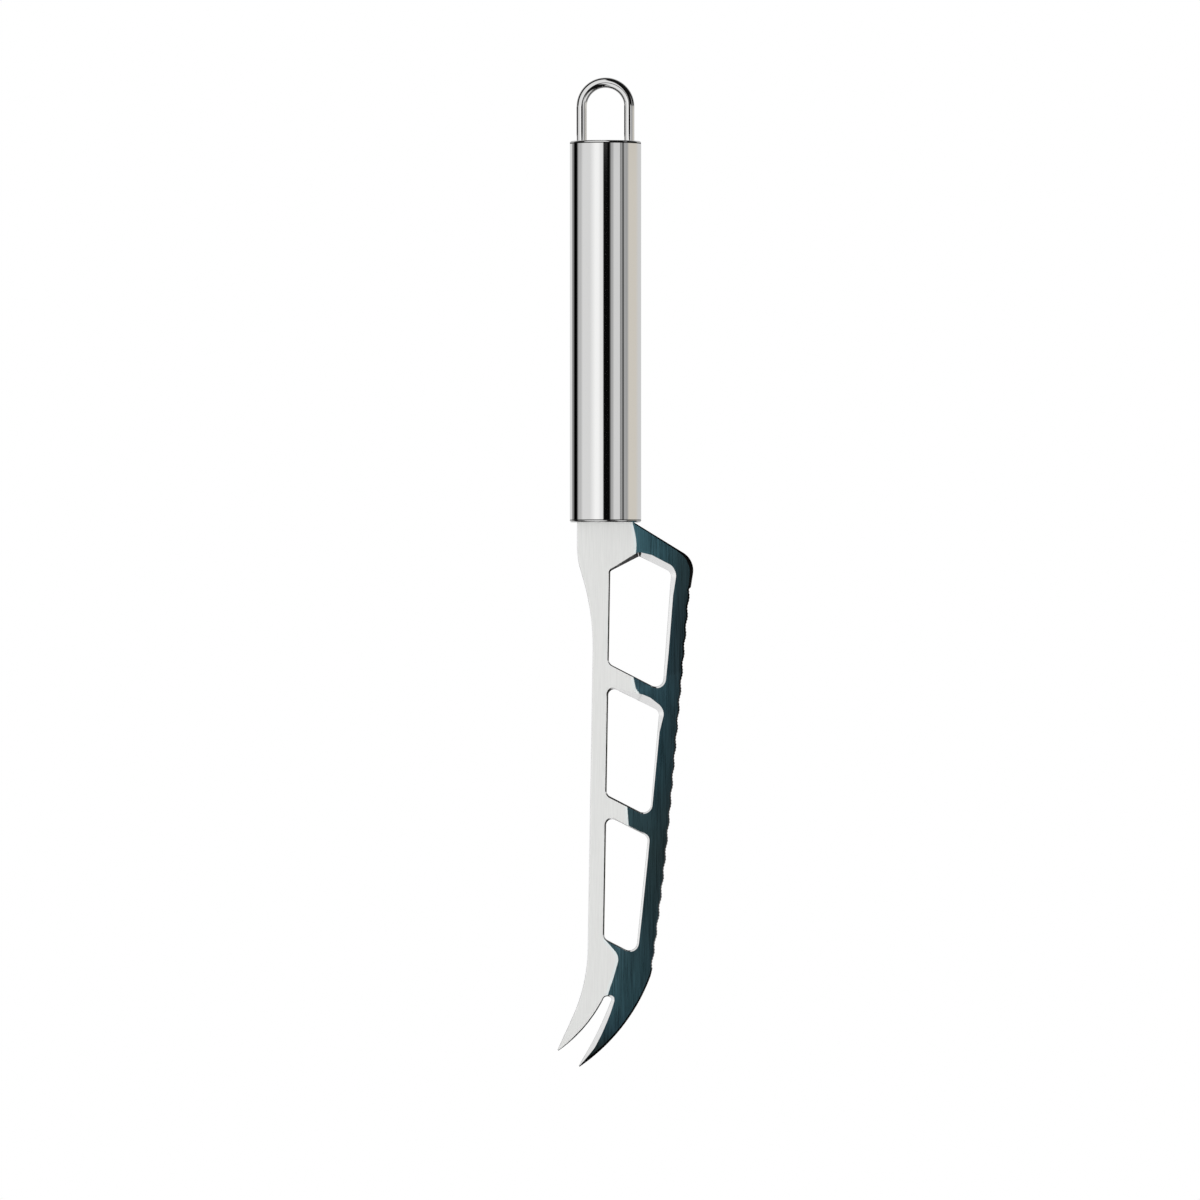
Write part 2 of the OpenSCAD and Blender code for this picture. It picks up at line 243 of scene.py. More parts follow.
# The polished lip of the spine, and that of the edge where it has no teeth: widths at the cap,
# before the heel, at the heel, at the ends of the teeth, before the tip and at the tip, how far
# before the heel and the tip, and each lip's slope and roll. Both grow in from the cap
SPINE_LIP_WIDTH, SPINE_LIP_FALL, SPINE_LIP_ROLL = 0.2, 0.05, 0.1
EDGE_LIP_WIDTHS = 0.3, 0.4, 1.0, 0.6, 0.4, 0.5, 0.75
BEFORE_HEEL, BEFORE_TIP = 5, 9
EDGE_LIP_FALL, EDGE_LIP_ROLL = 0.13, 0.06
LIP_GROWS = 0.5

# The most of a row that a bevel may take: where another bevel ends the row, and where none does
MOST_BETWEEN, MOST_ALONE = 0.38, 0.8
# How a rim rolls into its wall. In front: the depth, the most depth for the bevel's width, and
# the share of the bevel it takes. Behind: the depth, the width, and the bevel that has it in full
FRONT_ROLL, FRONT_ROLL_SLOPE, FRONT_ROLL_SHARE = 0.06, 0.2, 0.12
BACK_ROLL, BACK_ROLL_WIDTH, BACK_ROLL_BEVEL = 0.12, 0.2, 0.25
LIP_BACK_ROLL = 0.08

# Where the flat face turns into the ground one: points from the cap down, x at each window's
# top and bottom, x at the middles of the webs, the points it passes below the lowest window down
# to the cut between that window's rows and the fork's, and the points from there to the slot,
# which it meets at an angle. The ground's depth follows two more stretches: one that runs beside
# the lowest window, and one down the fork
LINE_NECK = np.array([[6.82, 0.0], [7.5, -3.0], [7.8, -5.6]])
LINE_WINDOWS = (8.15, 7.18), (7.9, 5.66), (5.72, 0.25)
LINE_WEBS = 7.62, 5.68
LINE_BELOW = np.array([[1.55, -107.24], [2.82, -108.86], [3.22, -110.35], [2.97, -111.6], [2.63, -112.8]])
LINE_FORK = np.array([[2.02, -114.9], [1.12, -117.55]])
LINE_SLOT_DEG = 90.0
DEPTH_BESIDE = np.array([[4.4, -99.0], [3.9, -106.0], [3.22, -110.4]])
DEPTH_PRONGS = np.array([[0.5, -120.85], [-1.6, -124.6], [-5.2, -130.0], [-9.5, -135.6]])

# Rows of the sheet: the share of the neck's top between two of them, and their steps along the
# spine by the windows, along the rest of the outline, and down the prongs by the slot. None comes
# closer to a seam than the least, and by the top window they turn its corner this far before the heel
NECK_ROWS, SIDE_ROWS, OUTLINE_ROWS, PRONG_ROWS, LEAST_ROWS = 0.03, 0.25, 0.2, 0.16, 0.02
ROWS_TURN = 3

# The fork's rows run from the grind's line for this share of the long and the short prong, and
# end this far from the slot
LONG_TURN_SHARE, SHORT_TURN_SHARE, FORK_RIM = 0.2, 0.24, 0.35

# The bevels round the windows: the place in corners from the upper left one, going down the left
# side, the width, and the slope in degrees. The last two are the slot's sides, by share
WINDOW_RIMS = (
    ((0.1, 0.4, 5), (0.97, 0.4, 5), (0.99, 0.28, 50), (1.85, 0.28, 50), (2.05, 0.6, 14), (2.3, 0.8, 14),
     (2.8, 0.88, 14), (3.1, 1.6, 14), (3.7, 1.7, 14), (3.98, 1.1, 14), (4.02, 1.05, 5), (4.8, 0.55, 5)),
    ((0.0, 0.6, 5), (0.1, 0.4, 5), (0.97, 0.4, 5), (0.99, 0.36, 50), (1.1, 0.42, 50), (1.85, 0.36, 50),
     (2.05, 0.35, 12), (2.3, 0.4, 14), (2.8, 0.5, 14), (3.0, 1.3, 14), (3.25, 2.0, 14), (3.4, 1.9, 14),
     (3.86, 0.34, 14), (3.9, 0.32, 6)),
    ((0.0, 0.45, 6), (0.2, 0.4, 5), (0.97, 0.4, 5), (0.99, 0.3, 50), (1.85, 0.3, 50), (2.05, 0.45, 12),
     (2.3, 0.5, 14), (2.8, 0.5, 14), (3.0, 0.45, 10), (3.2, 0.25, 5), (3.8, 0.25, 5)),
)
SHORT_RIM = (0.0, 0.25, 42), (0.15, 0.34, 42), (0.7, 0.34, 42), (1.0, 0.12, 42)
LONG_RIM = (
    (0.0, 0.35, 6), (0.08, 0.8, 13), (0.25, 1.05, 13), (0.5, 1.2, 13), (0.7, 1.2, 13), (0.85, 0.95, 13),
    (1.0, 0.4, 13),
)


def spline(points, count=80):
    """A smooth curve through the points: cubic pieces whose slopes are the mean of their
    neighbours' chords, over the length of the chords."""
    span = np.append(0, np.cumsum(np.linalg.norm(np.diff(points, axis=0), axis=1)))
    slope = np.gradient(points, span, axis=0)
    s = np.linspace(0, span[-1], count)
    k = np.clip(np.searchsorted(span, s, "right") - 1, 0, len(span) - 2)
    h = (span[k + 1] - span[k])[:, None]
    t = ((s - span[k])[:, None]) / h
    return (
        (2 * t**3 - 3 * t**2 + 1) * points[k] + (t**3 - 2 * t**2 + t) * h * slope[k]
        + (3 * t**2 - 2 * t**3) * points[k + 1] + (t**3 - t**2) * h * slope[k + 1]
    )


def distance(points, line):
    """How far each point is from a polyline: the least distance to any of its segments."""
    a, b = line[:-1], line[1:]
    along = b - a
    rel = points[:, None, :] - a[None]
    t = np.clip((rel * along).sum(-1) / np.maximum((along * along).sum(-1), SAME_POINT ** 2), 0, 1)
    return np.linalg.norm(rel - t[..., None] * along, axis=-1).min(1)


class Blade:
    """The blade's curves, windows and thickness, worked out from its sizes."""

    def __init__(self, sizes):
        self.sizes = sizes
        self.half = sizes.thickness / MM / 2
        self.make_outline()
        self.make_windows()
        self.make_grind()

    def make_outline(self):
        """The spine's side and the edge's side run from the cap to the tips' middles; the slot's
        two sides run from its closed end to the tips' middles."""
        neck_start, neck_end = np.array([-NECK_WIDTH / 2, 0.0]), np.array([NECK_WIDTH / 2, 0.0])
        neck_corner = np.array([-NECK_WIDTH / 2, -NECK_LENGTH])
        along_spine = SPINE_END - SPINE_TOP
        waist = meet(np.array([0, -WAIST_DROP]), np.array([1.0, 0]), SPINE_TOP, along_spine)
        back = meet(SPINE_TOP, along_spine, SHORT_TIP, heading(90 - BACK_LEAN))
        short_side = bowed(SLOT_END + heading(SLOT_LEAD_DEG) * SLOT_RADIUS, SHORT_TIP, SHORT_BOW)
        long_side = bowed(SLOT_END + heading(WEB_FALL) * SLOT_RADIUS, LONG_TIP, LONG_BOW)
        belly = bowed(EDGE_END, LONG_TIP, BELLY_BOW)
        short_round = fillet(back, SHORT_TIP, short_side[-2], TIP_RADIUS)
        long_round = fillet(belly[-2], LONG_TIP, long_side[-2], TIP_RADIUS)
        self.spine = Path(
            [neck_start], fillet(neck_start, neck_corner, waist, NECK_TURN),
            fillet(neck_corner, waist, back, WAIST_TURN),
            fillet(waist, back, SHORT_TIP, BACK_RADIUS), short_round[:CORNER_MIDDLE + 1],
        )
        self.make_edge(neck_end, [belly[1:-1], long_round[:CORNER_MIDDLE + 1]])
        self.short_slot = Path(
            slot_round(SLOT_LEAD_DEG, count=30), short_side[1:-1], short_round[CORNER_MIDDLE:][::-1])
        self.long_slot = Path(
            slot_round(WEB_FALL, count=18), long_side[1:-1], long_round[CORNER_MIDDLE:][::-1])

    def make_edge(self, neck_end, to_tip):
        """The shoulder, the heel, the teeth and the way to the tip. A tooth is a parabola cut into
        the plain edge, and a wave is a cosine that adds to its depth."""
        sizes = self.sizes
        heel = meet(neck_end, heading(-SHOULDER_FALL), EDGE_TOP, heading(HEEL_LEAN))
        heel_arc = fillet(neck_end, heel, EDGE_TOP, HEEL_RADIUS, 2 * CORNER_POINTS - 1)
        lower = bowed(EDGE_MIDDLE, EDGE_END, EDGE_BOW)
        plain = Path([neck_end], heel_arc, [EDGE_TOP, EDGE_MIDDLE], lower)
        start = plain.nearest(EDGE_TOP, FINE_SEARCH)
        pitch = sizes.wave_pitch / MM / sizes.teeth_per_wave
        count = int((plain.length - start) / pitch)
        s = np.linspace(0, count * pitch, count * TOOTH_POINTS + 1)
        wave = sizes.wave_depth / MM * (1 + np.cos(2 * np.pi * s / (sizes.wave_pitch / MM))) / 2
        tooth = sizes.tooth_depth / MM * (1 - (2 * np.mod(s / pitch, 1) - 1) ** 2)
        teeth = plain.at(start + s) - np.stack([wave + tooth, 0 * s], -1)
        before = plain.at(np.linspace(0, start - PLAIN_STOP, PLAIN_POINTS))
        self.edge = Path(before, teeth, *to_tip)
        self.heel_at = self.edge.nearest(heel_arc[len(heel_arc) // 2])
        self.teeth_from = self.edge.nearest(teeth[0], FINE_SEARCH)
        self.teeth_to = self.edge.nearest(teeth[-1], FINE_SEARCH)

    def make_windows(self):
        """Each window lies between a line beside the spine, its line beside the edge, and a falling
        top and bottom. The highest has a roof instead: a rise to its peak, then the same fall."""
        fall, bottom_fall = heading(-WEB_FALL), heading(-BOTTOM_FALL)
        inner, inner_way = SPINE_TOP + [SPINE_STRIP, 0], unit(SPINE_END - SPINE_TOP)
        self.windows = []
        for k, (right, low) in enumerate(zip(RIGHT_SIDES, WINDOW_BOTTOMS)):
            side, foot = (right[0], right[1] - right[0]), (np.array([0, low]), bottom_fall)
            corners = [meet(*foot, inner, inner_way), meet(*foot, *side)]
            radii = [SPINE_CORNER, SPINE_CORNER, LOWER_CORNER, UPPER_CORNER]
            if k == 0:
                roof = meet(PEAK, heading(ROOF_RISE), inner, inner_way)
                corners = [roof, *corners, meet(PEAK, fall, *side), PEAK]
                radii = [PEAK_CORNER, *radii[1:], PEAK_CORNER]
            else:
                top = np.array([0, WINDOW_TOPS[k - 1]]), fall
                corners = [meet(*top, inner, inner_way), *corners, meet(*top, *side)]
            self.windows.append(Loop(corners, radii))

    def make_grind(self):
        """The grind's line, in two parts: from the cap down across the webs, and from the lowest
        window down to the slot. Each part runs through the ends of the rows it must lie on."""
        self.splits = []
        upper = [LINE_NECK[:1]]
        ends = self.web_points(LINE_WEBS)
        for k, (window, (x_top, x_bottom)) in enumerate(zip(self.windows, LINE_WINDOWS)):
            top, bottom = window.over(x_top, True), window.over(x_bottom, False)
            high, low = self.rim(k, np.array([top])), self.rim(k, np.array([bottom]))
            above = LINE_NECK if k == 0 else np.array([ends[k - 1]])
            below = LINE_BELOW if k == 2 else np.array([ends[k]])
            into = spline(np.vstack([high["at"] + high["way"] * high["width"], above[::-1]]))
            out = spline(np.vstack([low["at"] + low["way"] * low["width"], below]))
            self.splits.append((top, bottom, into, out))
            upper += [into[::-1], high["at"]]
            if k < 2:
                upper += [low["at"], out]
        slot = self.short_slot.at(np.array([0.0]))
        self.cut_split = self.splits[2][3][-1]
        self.fork_line = spline(np.vstack([[self.cut_split], LINE_FORK, slot]))
        self.lines = [
            np.vstack(upper + [DEPTH_BESIDE]),
            np.vstack([low["at"], self.splits[2][3], self.fork_line, DEPTH_PRONGS]),
        ]
        edge_t = self.sizes.heel_thickness / MM / 2
        heel = self.edge.at(np.array([self.heel_at]))
        self.rate = (self.half - edge_t) / min(distance(heel, line)[0] for line in self.lines)

    def web_points(self, x):
        """The points at x on the two webs' middle lines."""
        fall = math.tan(math.radians(WEB_FALL))
        return [np.array([x[k], WEB_MIDDLES[k] - fall * x[k]]) for k in (0, 1)]

    def half_thickness(self, points, ground):
        """Half the sheet, less the grind's rate times the distance from its line."""
        if not ground:
            return np.full(len(points), self.half)
        return self.half - self.rate * self.from_line(points)

    def from_line(self, points):
        """The distance of each point from the nearer part of the grind's line."""
        return np.minimum(distance(points, self.lines[0]), distance(points, self.lines[1]))

    def rim(self, k, s):
        """A window's rim at lengths s: points, the ways into the sheet, bevel widths and slopes."""
        window = self.windows[k]
        corners = len(window.middles)
        reach = np.append(window.middles, window.middles[0] + window.length)
        place = np.interp(np.mod(s - reach[0], window.length) + reach[0], reach, np.arange(corners + 1))
        return {"at": window.at(s), "way": -window.side(s), **bevel_at(WINDOW_RIMS[k], place, corners)}

    def slot_rim(self, path, table, sign, s):
        """A side of the slot at lengths s, as rim gives it."""
        return {"at": path.at(s), "way": sign * path.side(s), **bevel_at(table, s / path.length)}

    def spine_lip(self, s):
        """The spine's rounded side at lengths s."""
        grown = np.clip(s / LIP_GROWS, 0, 1)
        return {
            "at": self.spine.at(s), "way": self.spine.side(s), "width": SPINE_LIP_WIDTH * grown,
            "fall": np.full(len(s), SPINE_LIP_FALL), "roll": SPINE_LIP_ROLL * grown,
        }

    def edge_lip(self, s):
        """The edge's side at lengths s: a shallow polished bevel round the shoulder, the heel and
        the belly, and the serrated bevel through the whole sheet between them."""
        edge, heel, teeth = self.edge, self.heel_at, [self.teeth_from, self.teeth_to]
        toothed = (s > teeth[0] - TEETH_NEAR) & (s < teeth[1] + TEETH_NEAR)
        stations = [0, heel - BEFORE_HEEL, heel, *teeth, edge.length - BEFORE_TIP, edge.length]
        width = np.interp(s, stations, EDGE_LIP_WIDTHS)
        at = edge.at(s)
        through = 2 * self.half_thickness(at, True) - BEVEL_LEFT
        bevel = self.sizes.bevel_width / MM * np.interp(s, teeth, [1.0, BEVEL_END])
        way = -edge.side(s, np.where(toothed, self.sizes.wave_pitch / MM / 2, PLAIN_CHORD))
        grown = np.clip(s / LIP_GROWS, 0, 1)
        return {
            "at": at, "way": way, "width": grown * np.where(toothed, bevel, width),
            "fall": np.where(toothed, through / bevel, EDGE_LIP_FALL),
            "roll": grown * np.where(toothed, 0, EDGE_LIP_ROLL),
        }


def slot_round(degrees, count):
    """The slot's closed end as an arc, from the grind's line to one of its sides."""
    turn = np.radians(np.linspace(LINE_SLOT_DEG, degrees, count))
    return SLOT_END + SLOT_RADIUS * np.stack([np.cos(turn), np.sin(turn)], -1)


def bevel_at(table, place, period=None):
    """A rim's widths and slopes at places along it, read straight between the table's rows."""
    place_at, width, degrees = np.array(table).T
    return {
        "width": np.interp(place, place_at, width, period=period),
        "fall": np.tan(np.radians(np.interp(place, place_at, degrees, period=period))),
    }


def steps(low, high, step):
    """Even lengths from low to high, both in."""
    return np.linspace(low, high, max(2, math.ceil(abs(high - low) / step) + 1))


def rim_columns(rim, most):
    """The columns across a window's or the slot's bevel, from its wall: points, and depths in front
    and behind. In front, the slope times the width left, plus a parabola at the wall; behind, a
    parabola alone."""
    width = np.minimum(rim["width"], most)
    plan = rim["at"][:, None] + (rim["way"] * width[:, None])[:, None] * RIM_SHARES[None, :, None]
    roll = np.minimum(FRONT_ROLL, FRONT_ROLL_SLOPE * width)[:, None]
    front = (rim["fall"] * width)[:, None] * (1 - RIM_SHARES)
    front += roll * np.clip(1 - RIM_SHARES / FRONT_ROLL_SHARE, 0, 1) ** 2
    back = BACK_ROLL * np.clip(1 - RIM_SHARES * width[:, None] / BACK_ROLL_WIDTH, 0, 1) ** 2
    back *= np.minimum(1, width / BACK_ROLL_BEVEL)[:, None]
    return plan, front, back


def lip_columns(lip, most):
    """The columns across a lip of the outline, up to its side, as rim_columns gives them."""
    width = np.minimum(lip["width"], most)
    plan = lip["at"][:, None] + (lip["way"] * width[:, None])[:, None] * LIP_SHARES[None, :, None]
    tight = (width / np.maximum(lip["width"], SAME_POINT))[:, None]
    front = (lip["fall"] * width)[:, None] * (1 - LIP_SHARES)
    front += lip["roll"][:, None] * tight * (1 - LIP_SHARES) ** 2
    back = (lip["roll"] > 0)[:, None] * LIP_BACK_ROLL * tight * (1 - LIP_SHARES) ** 2
    return plan, front, back


class Sheet:
    """Gathers the blade's points, faces and the material of each face."""

    def __init__(self, blade):
        self.blade = blade
        self.points, self.faces, self.kinds, self.distances, self.count = [], [], [], [], 0

    def grid(self, points, kinds, distances):
        """Puts in a grid of points, rows by columns, as the quads that have an area, with each
        point's distance from the grind's line."""
        quads = self.count + grid_quads(*points.shape[:2])
        start, *corner = points[:-1, :-1], points[1:, :-1], points[1:, 1:], points[:-1, 1:]
        area = sum(
            np.linalg.norm(np.cross(corner[i] - start, corner[i + 1] - start), axis=-1) for i in (0, 1)
        )
        keep = area > SMALLEST_FACE
        self.points.append(points.reshape(-1, 3))
        self.distances.append(distances.ravel())
        self.faces.append(quads[keep])
        self.kinds.append(np.broadcast_to(kinds, quads.shape[:2])[keep])
        self.count += distances.size

    def lay(self, inner, outer, ground, bend=0):
        """Lays rows from an inner curve to an outer one, on the front and the back, and the walls
        between. A curve with a "way" is a real side with a bevel; one without is a seam inside
        the sheet. A row has straight steps across its bevels and even ones across its field; the
        depth at each is half the thickness less what the bevels take there."""
        blade, near, far = self.blade, inner["at"], outer["at"]
        room = np.linalg.norm(far - near, axis=1)
        columns = []
        if "way" in inner:
            rim = rim_columns(inner, room * (MOST_BETWEEN if "way" in outer else MOST_ALONE))
            near = rim[0][:, -1]
            columns.append([part[:, :-1] for part in rim])
        if "way" in outer:
            lip = lip_columns(outer, room * MOST_BETWEEN)
            far = lip[0][:, 0]
        field = near[:, None] + (far - near)[:, None] * FIELD_SHARES[None, :, None] + bend
        columns.append([field, np.zeros(field.shape[:2]), np.zeros(field.shape[:2])])
        if "way" in outer:
            columns.append([part[:, 1:] for part in lip])
        plan, front, back = (np.concatenate(part, 1) for part in zip(*columns))
        flat_plan = plan.reshape(-1, 2)
        half = blade.half_thickness(flat_plan, ground).reshape(plan.shape[:2])
        away = blade.from_line(flat_plan).reshape(half.shape) * (1 if ground else -1)
        height = plan[..., 1] - blade.sizes.cap_thickness / MM
        faces = [np.stack([plan[..., 0], depth, height], -1) for depth in (front - half, half - back)]
        kinds = np.full(half.shape[1] - 1, GROUND if ground else FLAT)
        if "way" in inner:
            kinds[:len(RIM_SHARES) - 1] = RIM
        if "way" in outer:
            # The ground side's outer lip takes the near black painted shade
            kinds[-(len(LIP_SHARES) - 1):] = PAINTED_DARK_EDGE if ground else RIM
        for face in faces:
            self.grid(face, kinds[None], away)
        for curve, column, kind in ((inner, 0, FLAT), (outer, -1, PAINTED_DARK_EDGE if ground else RIM)):
            if "way" in curve or "wall" in curve:
                wall = np.stack([face[:, column] for face in faces], 1)
                self.grid(wall, kind, np.stack([away[:, column]] * 2, 1))


def bend_to(curve, near, far, count, first):
    """The shift that puts the row at a band's end on the curve: the curve less its chord, fading
    as the square of the share of rows left."""
    path = Path(curve)
    shift = path.at(FIELD_SHARES * path.length) - (near + (far - near) * FIELD_SHARES[:, None])
    fade = np.linspace(1, 0, count) ** 2
    return (fade if first else fade[::-1])[:, None, None] * shift[None]


def teeth_lengths(blade, start, stop):
    """Lengths along the edge from start to stop: the teeth's own points, and even steps elsewhere."""
    reach = blade.edge.reach
    s = np.concatenate([
        steps(0, blade.teeth_from, OUTLINE_ROWS),
        reach[(reach > blade.teeth_from) & (reach < blade.teeth_to)],
        steps(blade.teeth_to, blade.edge.length, OUTLINE_ROWS),
    ])
    return np.concatenate([[start], s[(s > start + LEAST_ROWS) & (s < stop - LEAST_ROWS)], [stop]])


class Side:
    """The flat side of the blade, from the grind's line out to the spine, or the ground side, out to
    the edge. Its rows end at seams along the webs' middles and across the fork, and each seam has a
    stop along the outline, its way in from there, and the inner corner of the outline's lip."""

    def __init__(self, blade, ground):
        self.blade, self.ground, self.sign = blade, ground, 1 if ground else -1
        self.path, self.lip = (blade.edge, blade.edge_lip) if ground else (blade.spine, blade.spine_lip)
        webs = [(point, heading(-WEB_FALL)) for point in blade.web_points(LINE_WEBS)]
        self.seams = webs + [(blade.cut_split, np.array([1.0, 0.0]))]
        self.stops, self.ways, self.corners = [0.0], [], []
        for point, way in self.seams:
            s = np.array([self.path.crossing(point, way)])
            lip, inward = self.lip(s), -self.sign * way
            self.stops.append(s[0])
            self.ways.append(inward)
            self.corners.append(lip["at"][0] + inward * lip["width"][0])

    def lay(self, sheet):
        """Lays the rows round each window, and then the prong's."""
        for k, window in enumerate(self.blade.windows):
            top, bottom, into, out = self.blade.splits[k]
            upper, lower = (UPPER_RIGHT, LOWER_RIGHT) if self.ground else (UPPER_LEFT, LOWER_LEFT)
            peak = k == 0 and self.ground
            over = window.onward(top, window.middles[PEAK_TURN], self.ground) if peak else top
            high = window.onward(over, window.middles[upper], self.ground)
            low = window.onward(high, window.middles[lower], self.ground)
            bottom = window.onward(low, bottom, self.ground)
            self.lay_over(sheet, k, top, over if peak else high, into)
            self.lay_beside(sheet, k, over, high, low)
            self.lay_under(sheet, k, low, bottom, out)
        self.lay_prong(sheet)

    def lay_over(self, sheet, k, start, end, line):
        """The rows over a window, from the grind's line to the window's upper corner. Over the top
        one they rise to the cap, where the sheet has a wall."""
        if k == 0:
            neck = np.array([self.sign * NECK_WIDTH / 2, 0.0])
            across = steps(0, 1, NECK_ROWS)[:, None]
            seam = {"at": LINE_NECK[0] + (neck - LINE_NECK[0]) * across, "wall": True}
        else:
            point, corner = self.seams[k - 1][0], self.corners[k - 1]
            seam = {"at": point + (corner - point) * FIELD_SHARES[:, None]}
        count = len(seam["at"])
        row = self.blade.rim(k, np.linspace(start, end, count))
        near = row["at"][0] + row["way"][0] * row["width"][0]
        sheet.lay(row, seam, self.ground, bend_to(line, near, seam["at"][0], count, True))

    def lay_beside(self, sheet, k, over, high, low):
        """The rows between a window's side and the outline. On the top window's ground side, the
        first ones turn the corner from its peak."""
        start, stop = self.stops[k:k + 2]
        s = teeth_lengths(self.blade, start, stop) if self.ground else steps(start, stop, SIDE_ROWS)
        rim_s = high + (low - high) * (s - start) / (stop - start)
        if k == 0 and self.ground:
            rim_s = np.interp(s, [start, self.blade.heel_at - ROWS_TURN, stop], [over, high, low])
        outer = self.lip(s)
        if k:
            outer["way"][0] = self.ways[k - 1]
        outer["way"][-1] = self.ways[k]
        sheet.lay(self.blade.rim(k, rim_s), outer, self.ground)

    def lay_under(self, sheet, k, start, end, line):
        """The rows under a window, back to the grind's line."""
        point, corner = self.seams[k][0], self.corners[k]
        seam = {"at": corner + (point - corner) * FIELD_SHARES[:, None]}
        row = self.blade.rim(k, np.linspace(start, end, len(FIELD_SHARES)))
        near = row["at"][-1] + row["way"][-1] * row["width"][-1]
        sheet.lay(row, seam, self.ground, bend_to(line, near, point, len(FIELD_SHARES), False))

    def lay_prong(self, sheet):
        """The rows of a prong: from the grind's line, and then the slot's side, to the outline."""
        blade, path, start = self.blade, self.path, self.stops[-1]
        if self.ground:
            slot, table, share = blade.long_slot, LONG_RIM, LONG_TURN_SHARE
        else:
            slot, table, share = blade.short_slot, SHORT_RIM, SHORT_TURN_SHARE
        line = Path(blade.fork_line)
        first = line.length - FORK_RIM
        turn = start + (path.length - start) * share
        s = steps(start, turn, OUTLINE_ROWS)
        outer = self.lip(s)
        outer["way"][0] = self.ways[-1]
        sheet.lay({"at": line.at(first * (s - start) / (turn - start))}, outer, self.ground)
        s = steps(turn, path.length, PRONG_ROWS)
        rim = blade.slot_rim(slot, table, self.sign, slot.length * (s - turn) / (path.length - turn))
        rim["way"][0] = (line.at(first) - rim["at"][0]) / FORK_RIM
        rim["width"][0] = FORK_RIM
        sheet.lay(rim, self.lip(s), self.ground)


def blade_sheet(sizes):
    """The blade's front, back and sides: the flat side, the ground side and the hidden tang."""
    blade = Blade(sizes)
    sheet = Sheet(blade)
    for ground in (False, True):
        Side(blade, ground).lay(sheet)
    tang = tang_box(sizes)
    sheet.grid(tang, RIM, np.zeros(tang.shape[:2]))
    return sheet


def link_object(name, data):
    """Puts a mesh, a light or a camera in the scene as an object."""
    item = bpy.data.objects.new(name, data)
    bpy.context.scene.collection.objects.link(item)
    return item


def dress(piece, *materials):
    """Gives a piece its materials, in the order of its slots."""
    for material in materials:
        piece.data.materials.append(material)


def shell(name, points, faces, kinds=None, distances=None, sharp=32.0):
    """A closed mesh object in metres from points in millimetres: doubles merged, faces outward,
    and edges sharper than the angle, or between two materials, kept sharp."""
    mesh = bpy.data.meshes.new(name)
    mesh.from_pydata((points * MM).tolist(), [], faces)
    if kinds is not None:
        mesh.polygons.foreach_set("material_index", kinds)
    if distances is not None:
        mesh.attributes.new("line_distance", "FLOAT", "POINT").data.foreach_set("value", distances)
    work = bmesh.new()
    work.from_mesh(mesh)
    bmesh.ops.remove_doubles(work, verts=work.verts, dist=SAME_POINT_M)
    bmesh.ops.recalc_face_normals(work, faces=work.faces)
    work.to_mesh(mesh)
    work.free()
    mesh.shade_smooth()
    mesh.set_sharp_from_angle(angle=math.radians(sharp))
    if kinds is not None:
        keep_borders(mesh)
    piece = link_object(name, mesh)
    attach(piece, "root")
    return piece


def keep_borders(mesh):
    """Marks as sharp each edge whose faces have different materials."""
    edge = np.empty(len(mesh.loops), np.int32)
    mesh.loops.foreach_get("edge_index", edge)
    totals, kinds = (np.empty(len(mesh.polygons), np.int32) for _ in range(2))
    mesh.polygons.foreach_get("loop_total", totals)
    mesh.polygons.foreach_get("material_index", kinds)
    kind = np.repeat(kinds, totals)
    low, high = np.full(len(mesh.edges), 99), np.full(len(mesh.edges), -1)
    np.minimum.at(low, edge, kind)
    np.maximum.at(high, edge, kind)
    sharp = np.empty(len(mesh.edges), bool)
    mesh.edges.foreach_get("use_edge_sharp", sharp)
    mesh.edges.foreach_set("use_edge_sharp", sharp | (low != high))


def revolve(name, profile, shaded, count=256):
    """A closed turned piece: the profile (radius, height) carried round the handle's axis. Points
    on the axis close it as poles, and a profile that stays off the axis closes on itself. The
    shaded parts of the profile, by number, take the second material."""
    profile = np.asarray(profile, float)
    solid = profile[0, 0] == 0 and profile[-1, 0] == 0
    if not solid:
        profile = np.vstack([profile, profile[:1]])
    turn = np.linspace(0, 2 * np.pi, count + 1)[:, None]
    points = np.stack([
        profile[None, :, 0] * np.cos(turn), profile[None, :, 0] * np.sin(turn),
        np.broadcast_to(profile[None, :, 1], (count + 1, len(profile))),
    ], -1)
    kinds = np.tile(np.isin(np.arange(len(profile) - 1), shaded), count).astype(np.int32)
    return shell(name, points.reshape(-1, 3), grid_faces(count + 1, len(profile)), kinds)


def sweep(name, path, radius, count=64):
    """A closed round wire along a path in the plane of the loop: at each point a circle square to
    the path's way, and a flat disc at each end."""
    way = unit(np.gradient(path, axis=0))
    out = np.array([0.0, 1.0, 0.0])
    side = np.cross(way, out)
    turn = np.linspace(0, 2 * np.pi, count + 1)[None, :, None]
    rings = path[:, None] + radius * (side[:, None] * np.cos(turn) + out * np.sin(turn))
    ends = [np.repeat(path[k][None, None], count + 1, 1) for k in (0, -1)]
    points = np.concatenate([ends[0], rings, ends[1]])
    return shell(name, points.reshape(-1, 3), grid_faces(len(path) + 2, count + 1))


def grid_quads(rows, columns):
    """The quads of a grid of points, themselves a grid: each one's four corners, one way round."""
    index = np.arange(rows * columns).reshape(rows, columns)
    return np.stack([index[:-1, :-1], index[1:, :-1], index[1:, 1:], index[:-1, 1:]], -1)


def grid_faces(rows, columns):
    """The same quads as a plain list."""
    return grid_quads(rows, columns).reshape(-1, 4).tolist()


